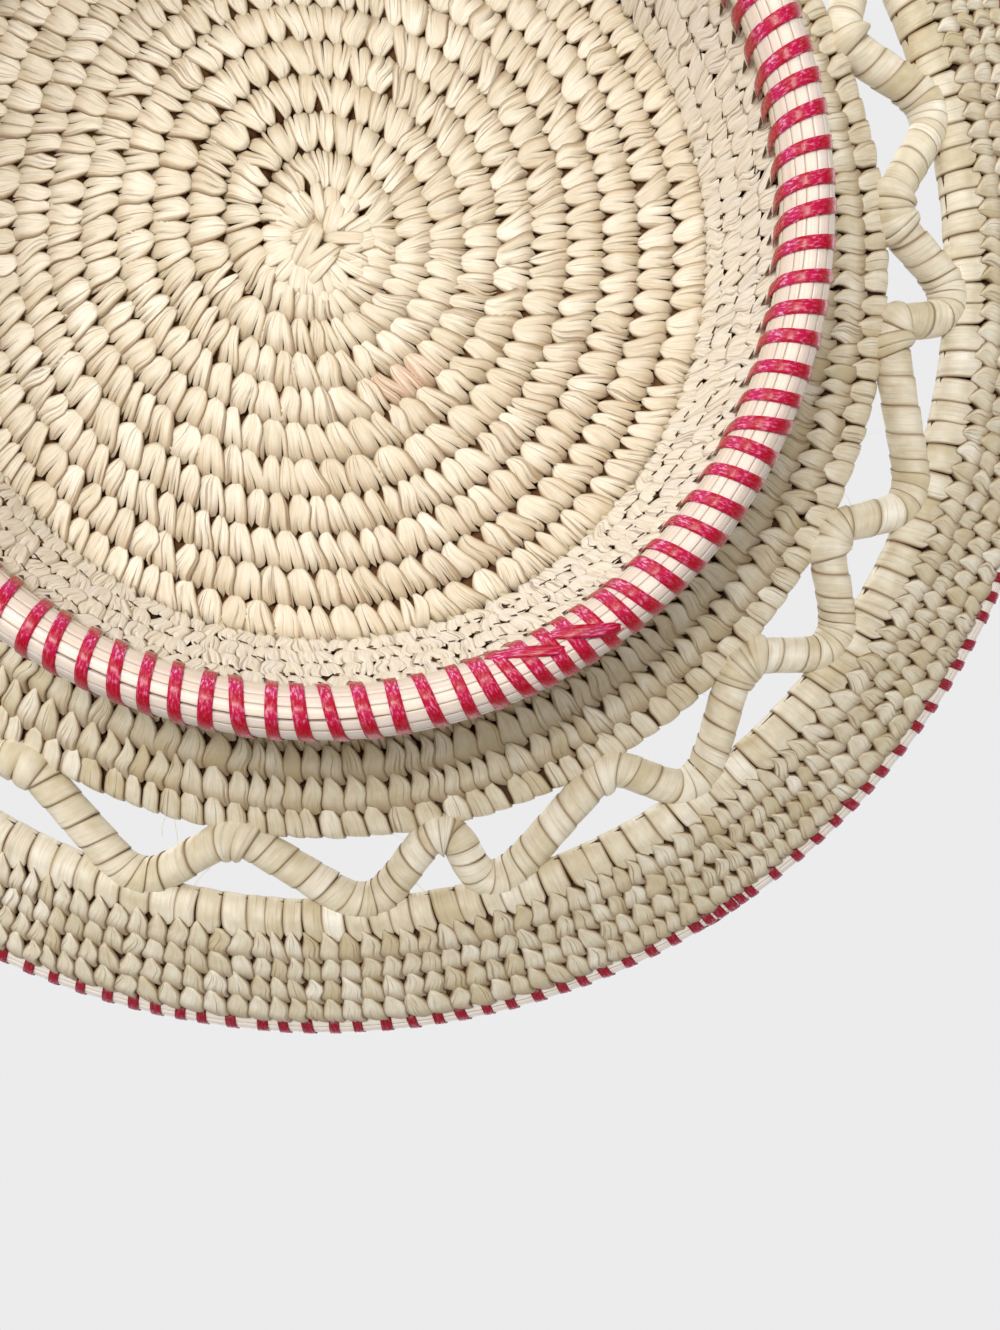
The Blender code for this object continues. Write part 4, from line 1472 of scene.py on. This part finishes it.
def crossing_ribbon(line, section, crossing, width, rng):
    """A ribbon that runs obliquely over the turns of a splice."""
    from_angle, to_angle, from_share, to_share, width_share = crossing
    degrees = line.length / 360
    share = np.linspace(0, 1, CROSSING_SAMPLES)[None, :]
    runs = (from_angle + share * (to_angle - from_angle)) * degrees
    climbs = (from_share + share * (to_share - from_share)) * section_length(section)
    off_middle = np.abs(2 * share[0] - 1)[None, :, None] ** 6
    tucked = CROSSING_LIFT - CROSSING_TUCK * off_middle
    tapered = width * width_share * (1 - CROSSING_TAPER * off_middle)
    return ribbon_on(line, section, runs, climbs, tapered, tucked, rng)


FOOT_DENSE_PITCH = 0.82        # pitch of the ribbon's turns in a splice, over that elsewhere
RIM_DENSE_PITCH = 0.5
RIM_LEAN = 0.5                 # share of the pitch that a turn on the rim gets back by
FOOT_RIBBON_LIFT = 0.12 * MM   # from the stems to the ribbon's section
RIM_RIBBON_LIFT = 0.2 * MM
RIM_RIBBON_TUCK = 1.6 * MM     # length of the ribbon's ends, which go into the last row

# Degrees round the bundle's section that the ribbons cover: on the foot from the inner side
# under the bundle to the outer side, on the rim either way from the side away from the last row
FOOT_RIBBON_ARC = range(180, -1, -20)
RIM_RIBBON_ARC = range(150, -151, -15)

# Ends of the foot ribbon's section: out in shares of its size, and face
FOOT_RIBBON_START = ((-0.92, -4.9 * MM), (-1.0, -2.6 * MM))
FOOT_RIBBON_END = ((0.93, -2.6 * MM), (0.66, -5.4 * MM), (0.5, -7.2 * MM))


class BASKET_OT_foot_rim(BasketOperator):
    """Make the foot's bundle of bare stems and its red ribbon"""

    bl_idname = "basket.foot_rim"
    bl_label = "Foot rim"

    def execute(self, context):
        rng = np.random.default_rng(61)
        line = ring_line(*FOOT_BUNDLE, foot_nudge)
        stems = stem_bundle(line, FOOT_BUNDLE_SIZE, self.sizes.foot_stems, FOOT_STEM_SAMPLES,
                            FOOT_GROOVE, rng)
        fit(make_mesh("foot_stems", [stems], stem_material()), "bare_stems", "foot_rim_bundle")
        size = FOOT_BUNDLE_SIZE + FOOT_RIBBON_LIFT
        section = [(share * size, face) for share, face in FOOT_RIBBON_START]
        for turn in FOOT_RIBBON_ARC:
            angle = math.radians(turn)
            section.append((size * math.cos(angle), size * math.sin(angle)))
        section += [(share * size, face) for share, face in FOOT_RIBBON_END]
        width = self.sizes.foot_ribbon
        places, pitch = tie_places(line, self.sizes.foot_ties, FOOT_SPLICE, FOOT_DENSE_PITCH, rng)
        lots = [wound_ribbon(line, section, places, width, pitch, rng)]
        lots += [crossing_ribbon(line, section, one, width, rng) for one in FOOT_CROSSINGS]
        red = ribbon_material("foot_ribbon", self.colours.ribbon)
        fit(make_mesh("foot_ribbon", lots, red), "red_ribbon", "foot_rim_ribbon", "foot_rim_splice")
        # Painted shade in the holes that the ribbon comes out of
        holes = ribbon_holes(line, size, places, pitch, rng)
        fit(make_mesh("foot_ribbon_holes", [holes], core_material(0.8)), "foot_straw")
        return {"FINISHED"}


class BASKET_OT_rim(BasketOperator):
    """Make the rim's bundle of bare stems and its red ribbon"""

    bl_idname = "basket.rim"
    bl_label = "Rim"

    def execute(self, context):
        rng = np.random.default_rng(71)
        line = ring_line(*rim_bundle_place())
        stems = stem_bundle(line, RIM_BUNDLE_SIZE, self.sizes.rim_stems, RIM_STEM_SAMPLES,
                            RIM_GROOVE, rng)
        fit(make_mesh("rim_stems", [stems], stem_material()), "bare_stems", "rim_bundle")
        size = RIM_BUNDLE_SIZE + RIM_RIBBON_LIFT
        slope = math.radians(RIM_SLOPE)
        inward = np.array([-math.cos(slope), math.sin(slope)])
        section = []
        for turn in RIM_RIBBON_ARC:
            angle = math.radians(turn)
            turned = (-inward[0] * math.cos(angle) + inward[1] * math.sin(angle),
                      -inward[1] * math.cos(angle) - inward[0] * math.sin(angle))
            section.append((size * turned[0], size * turned[1]))
        ends = [tuple(np.array(section[i]) + inward * RIM_RIBBON_TUCK) for i in (0, -1)]
        section = [ends[0], *section, ends[1]]
        width = self.sizes.rim_ribbon
        places, pitch = tie_places(line, self.sizes.rim_ties, RIM_SPLICE, RIM_DENSE_PITCH, rng)
        lots = [wound_ribbon(line, section, places, width, RIM_LEAN * pitch, rng),
                crossing_ribbon(line, section, RIM_CROSSING, width, rng)]
        # Painted shade: the darker rim red, with less of the painted highlight on its bends.
        red = ribbon_material("rim_ribbon", self.colours.rim_ribbon, 0.3)
        fit(make_mesh("rim_turns", lots, red), "red_ribbon", "rim_ribbon", "rim_splice")
        return {"FINISHED"}


# Strips of the knot, each from one end to the other: x, y, x, y and width in millimetres
KNOT_STRIPS = (
    (0.2, 8.6, 1.2, 11.6, 1.3), (0.4, 5.4, 5.4, 9.0, 1.9), (3.7, 3.4, 9.0, 3.6, 2.1),
    (3.9, 2.1, 9.1, 0.2, 1.4), (-5.9, -0.6, 1.0, -1.8, 2.2), (1.4, -1.0, 3.7, -8.7, 2.7),
    (2.4, -2.3, 7.1, -5.8, 1.4), (0.6, -0.8, 9.4, -0.8, 1.9), (-5.0, 5.6, 0.1, -3.8, 2.8),
    (-3.6, 5.6, 3.8, 0.2, 2.4), (-2.5, 8.3, 3.4, 1.4, 1.6))
KNOT_DEPTH = 3.4 * MM          # from the coil's middle to the knot's surface
KNOT_SPREAD = 1.3              # widths of the strips are enlarged by this, so that they overlap
KNOT_FILLING = (3.2 * MM, 3.9 * MM)  # radius of the ring inside it, and of the ring's section

# Long narrow petals under the knot: the angle past which no further one is added, then from and
# to of the step to the next one and of the lean, all in radians, and from and to of the radii of
# both ends and of the width, in millimetres
KNOT_PETALS_END = 2 * math.pi - 0.15
KNOT_PETAL_STEPS = (0.2, 0.34)
KNOT_PETAL_LEANS = (0.1, 0.35)
KNOT_PETAL_NEAR = (3.4, 5.4)
KNOT_PETAL_FAR = (10.6, 12.2)
KNOT_PETAL_WIDTHS = (2.2, 3.4)
KNOT_PETAL_RISE = 0.9 * MM
KNOT_PETAL_FALL = 0.3 * MM     # from a petal's near end to its far end

# The ends of the knot's strips lie this far from the coil's middle, and each strip arches more
KNOT_LEVEL = KNOT_DEPTH - 0.5 * MM
KNOT_FIRST_RISE = 0.6 * MM
KNOT_MORE_RISE = 0.07 * MM

LOOSE_SAMPLES = 9              # points along a loose strip, and across its face
LOOSE_TAPER = 0.55             # of its width, that its ends lose
LOOSE_CROWN = 0.22 * MM
LOOSE_SKIRT = 0.5 * MM
# Painted shade on a loose strip's turned down sides
LOOSE_SKIRT_SHADE = 0.9


def loose_strip(start, end, width, rise, down):
    """A flat strip from one place to another that arches towards down, with rounded sides."""
    start, end, down = (np.array(value, float) for value in (start, end, down))
    share = np.linspace(0, 1, LOOSE_SAMPLES)[:, None, None]
    across = np.linspace(-1, 1, LOOSE_SAMPLES)[None, :, None]
    across = np.concatenate([across[:, :1], across, across[:, -1:]], 1)
    side = np.cross(unit(end - start), down)
    narrow = 1 - LOOSE_TAPER * np.abs(2 * share - 1) ** 4
    arch = rise * (1 - (2 * share - 1) ** 4)
    lift = arch + LOOSE_CROWN * (1 - across ** 2)
    lift[:, 0] -= LOOSE_SKIRT
    lift[:, -1] -= LOOSE_SKIRT
    points = start + (end - start) * share + side * across * width / 2 * narrow + down * lift
    length = np.linalg.norm(end - start)
    place = np.stack([(across * width / 2 + 0 * share)[..., 0] / MM,
                      (share * length + 0 * across)[..., 0] / MM,
                      0 * lift[..., 0] + start[0] * 5000], -1)
    # Painted shade at the strip's sides and ends, and on its turned down sides.
    shade_depth = 0.5 * np.abs(across) ** 8 + 0.5 * np.abs(2 * share - 1) ** 6
    shade_depth[:, 0] = LOOSE_SKIRT_SHADE
    shade_depth[:, -1] = LOOSE_SKIRT_SHADE
    tone = 0 * lift + 0.5 * math.sin(start[0] * 9000)  # a different one for each strip
    looks = np.concatenate([tone, 0 * lift, np.clip(shade_depth, 0, 1)], -1)
    return make_lot(points, place, looks, 1, *points.shape[:2])


def knot_petals(height, side, rng):
    """Long narrow petals of the first row, which run under the knot's strips."""
    lots = []
    turn = 0.0
    while turn < KNOT_PETALS_END:
        turn += rng.uniform(*KNOT_PETAL_STEPS)
        near = rng.uniform(*KNOT_PETAL_NEAR) * MM
        far = rng.uniform(*KNOT_PETAL_FAR) * MM
        lean = turn + side * rng.uniform(*KNOT_PETAL_LEANS)
        width = rng.uniform(*KNOT_PETAL_WIDTHS) * MM
        near_end = (near * math.cos(turn), near * math.sin(turn), height + side * KNOT_LEVEL)
        far_end = (far * math.cos(lean), far * math.sin(lean),
                   height + side * (KNOT_LEVEL - KNOT_PETAL_FALL))
        lots.append(loose_strip(near_end, far_end, width, KNOT_PETAL_RISE, (0, 0, side)))
    return lots


class BASKET_OT_knot(BasketOperator):
    """Make the knot in the middle of the base"""

    bl_idname = "basket.knot"
    bl_label = "Knot"

    def execute(self, context):
        rng = np.random.default_rng(97)
        height = tray_rows()[0][1]
        lots = []
        for side in (-1, 1):
            lots += knot_petals(height, side, rng)
            for index, (x, y, to_x, to_y, width) in enumerate(KNOT_STRIPS):
                rise = KNOT_FIRST_RISE + KNOT_MORE_RISE * index
                level = height + side * KNOT_LEVEL
                lots.append(loose_strip((x * MM, side * -y * MM, level),
                                        (to_x * MM, side * -to_y * MM, level),
                                        width * KNOT_SPREAD * MM, rise, (0, 0, side)))
        leaf = leaf_material("knot_leaf", self.colours.base_leaf)
        fit(make_mesh("knot_strips", lots, leaf), "base_straw", "centre_knot")
        radius, size = KNOT_FILLING
        # Painted shade: the ring inside the knot is darkened as if it lay between stitches.
        inside = lay_tube(ring_line(radius, height), size, samples=48, sides=12, shade_depth=0.55,
                          squash=0.85)
        fit(make_mesh("knot_filling", [inside], leaf), "base_straw")
        return {"FINISHED"}


def area_lamp(name, place, aim, size, power):
    lamp = bpy.data.lights.new(name, "AREA")
    lamp.shape = "DISK"
    lamp.size = size
    lamp.energy = power
    made = bpy.data.objects.new(name, lamp)
    made.location = place
    made.rotation_euler = (Vector(aim) - Vector(place)).to_track_quat("-Z", "Y").to_euler()
    bpy.context.scene.collection.objects.link(made)


class BASKET_OT_stage(BasketOperator):
    """Make the floor, the lamps and the camera"""

    bl_idname = "basket.stage"
    bl_label = "Stage"

    def execute(self, context):
        mesh = bpy.data.meshes.new("floor")
        corners = [(x * FLOOR_HALF, y * FLOOR_HALF, 0)
                   for x, y in ((-1, -1), (1, -1), (1, 1), (-1, 1))]
        mesh.from_pydata(corners, [], [(0, 1, 2, 3)])
        floor = bpy.data.objects.new("floor", mesh)
        bpy.context.scene.collection.objects.link(floor)
        mesh.materials.append(self.floor_material())
        for lamp in LAMPS:
            area_lamp(*lamp)
        self.world()
        self.camera()
        return {"FINISHED"}

    def floor_material(self):
        """Pale from above, and fading into the backdrop further off.

        From below, and to lamps under it, the floor isn't there.
        """
        made, tree, shader = new_material("floor")
        shader.inputs["Base Color"].default_value = rgba(self.colours.floor)
        shader.inputs["Roughness"].default_value = 0.9
        shader.inputs["Specular IOR Level"].default_value = 0.1
        clear = add(tree, "ShaderNodeBsdfTransparent")
        path = add(tree, "ShaderNodeLightPath").outputs
        surface = add(tree, "ShaderNodeNewGeometry").outputs
        far = add(tree, "ShaderNodeVectorMath", {0: surface["Position"]}, operation="LENGTH")
        faded = add(tree, "ShaderNodeMapRange",
                    {"Value": far.outputs["Value"], "From Min": FLOOR_FADE[0],
                     "From Max": FLOOR_FADE[1]}, interpolation_type="SMOOTHSTEP")
        unseen = math_node(tree, "MAXIMUM", surface["Backfacing"], path["Is Shadow Ray"])
        unseen = math_node(tree, "MAXIMUM", unseen, faded.outputs["Result"])
        both = add(tree, "ShaderNodeMixShader", {0: unseen, 1: shader.outputs[0],
                                                 2: clear.outputs[0]})
        tree.links.new(both.outputs[0], tree.nodes["Material Output"].inputs["Surface"])
        return made

    def world(self):
        world = bpy.data.worlds.new("studio")
        bpy.context.scene.world = world
        world.use_nodes = True
        tree = world.node_tree
        path = add(tree, "ShaderNodeLightPath").outputs
        seen = math_node(tree, "MAXIMUM", path["Is Camera Ray"], path["Is Glossy Ray"])
        seen = math_node(tree, "MAXIMUM", seen, path["Is Transmission Ray"])
        background = tree.nodes["Background"]
        background.inputs["Color"].default_value = rgba(BACKDROP)
        strength = spread_range(tree, seen, 0.0, 1.0, BACKDROP_LIGHT, BACKDROP_SEEN)
        tree.links.new(strength, background.inputs["Strength"])

    def camera(self):
        data = bpy.data.cameras.new("camera")
        data.lens = CAMERA_LENS
        data.sensor_width = CAMERA_SENSOR
        data.clip_start = 0.01
        made = bpy.data.objects.new("camera", data)
        back = (Vector(CAMERA_PLACE) - Vector(CAMERA_AIM)).normalized()
        right = Vector(CAMERA_UP).cross(back).normalized()
        up = back.cross(right)
        turn = Matrix((right, up, back)).transposed()
        made.matrix_world = Matrix.Translation(CAMERA_PLACE) @ turn.to_4x4()
        bpy.context.scene.collection.objects.link(made)
        bpy.context.scene.camera = made
        bpy.context.scene.view_settings.view_transform = "Standard"


class BASKET_OT_fibres(BasketOperator):
    """Make the stray fibres that hang in the openings"""

    bl_idname = "basket.fibres"
    bl_label = "Fibres"

    def execute(self, context):
        rng = np.random.default_rng(83)
        lots = []
        for angle in (*FIBRE_ANGLES, *rng.uniform(*OTHER_FIBRES)):
            outer = rng.uniform() < 0.5
            radius, height = OUTER_START if outer else INNER_END
            start = math.radians(angle)
            reach = rng.uniform(*FIBRE_REACHES) * MM * (-1 if outer else 1)
            sweep = rng.uniform(-FIBRE_SWEEP, FIBRE_SWEEP) * MM / radius
            share = np.linspace(0, 1, FIBRE_POINTS)
            turn = start + sweep * share + FIBRE_BEND * np.sin(3 * share) * rng.uniform(-1, 1)
            far = radius + reach * share
            wave = 0.2 * np.sin(5 * share)
            rise = height + FIBRE_DROP * (share * rng.uniform(-1, 0.5) + wave)
            points = np.stack([far * np.cos(turn), far * np.sin(turn), rise], -1)
            out, face = (np.tile(one, (FIBRE_POINTS, 1)) for one in ((1.0, 0, 0), (0, 0, 1.0)))
            line = Line(points, out, face)
            lots.append(lay_tube(line, FIBRE_RADIUS, FIBRE_POINTS, sides=4, shade_depth=0.0))
        leaf = leaf_material("stray_fibre", self.colours.pale_leaf)
        fit(make_mesh("stray_fibres", lots, leaf), "brim_straw")
        return {"FINISHED"}


class BASKET_PT_panel(bpy.types.Panel):
    """Buttons and settings of the basket"""

    bl_label = "Pedestal Basket"
    bl_idname = "BASKET_PT_panel"
    bl_space_type = "VIEW_3D"
    bl_region_type = "UI"
    bl_category = "Basket"

    def draw(self, context):
        for operator in OPERATORS:
            self.layout.operator(operator.bl_idname)
        for settings in (context.scene.basket_sizes, context.scene.basket_colours):
            box = self.layout.box()
            for name in settings.bl_rna.properties.keys():
                if name not in ("rna_type", "name"):
                    box.prop(settings, name)


OPERATORS = (BASKET_OT_base, BASKET_OT_inner_band, BASKET_OT_openwork, BASKET_OT_outer_band,
             BASKET_OT_foot, BASKET_OT_foot_rim, BASKET_OT_rim, BASKET_OT_knot,
             BASKET_OT_fibres, BASKET_OT_stage)
CLASSES = (BasketSizes, BasketColours, *OPERATORS, BASKET_PT_panel)


def register():
    for made in CLASSES:
        bpy.utils.register_class(made)
    bpy.types.Scene.basket_sizes = bpy.props.PointerProperty(type=BasketSizes)
    bpy.types.Scene.basket_colours = bpy.props.PointerProperty(type=BasketColours)


def unregister():
    del bpy.types.Scene.basket_colours
    del bpy.types.Scene.basket_sizes
    for made in reversed(CLASSES):
        bpy.utils.unregister_class(made)


def main():
    register()
    for operator in OPERATORS:
        category, name = operator.bl_idname.split(".")
        getattr(getattr(bpy.ops, category), name)()


if __name__ == "__main__":
    main()
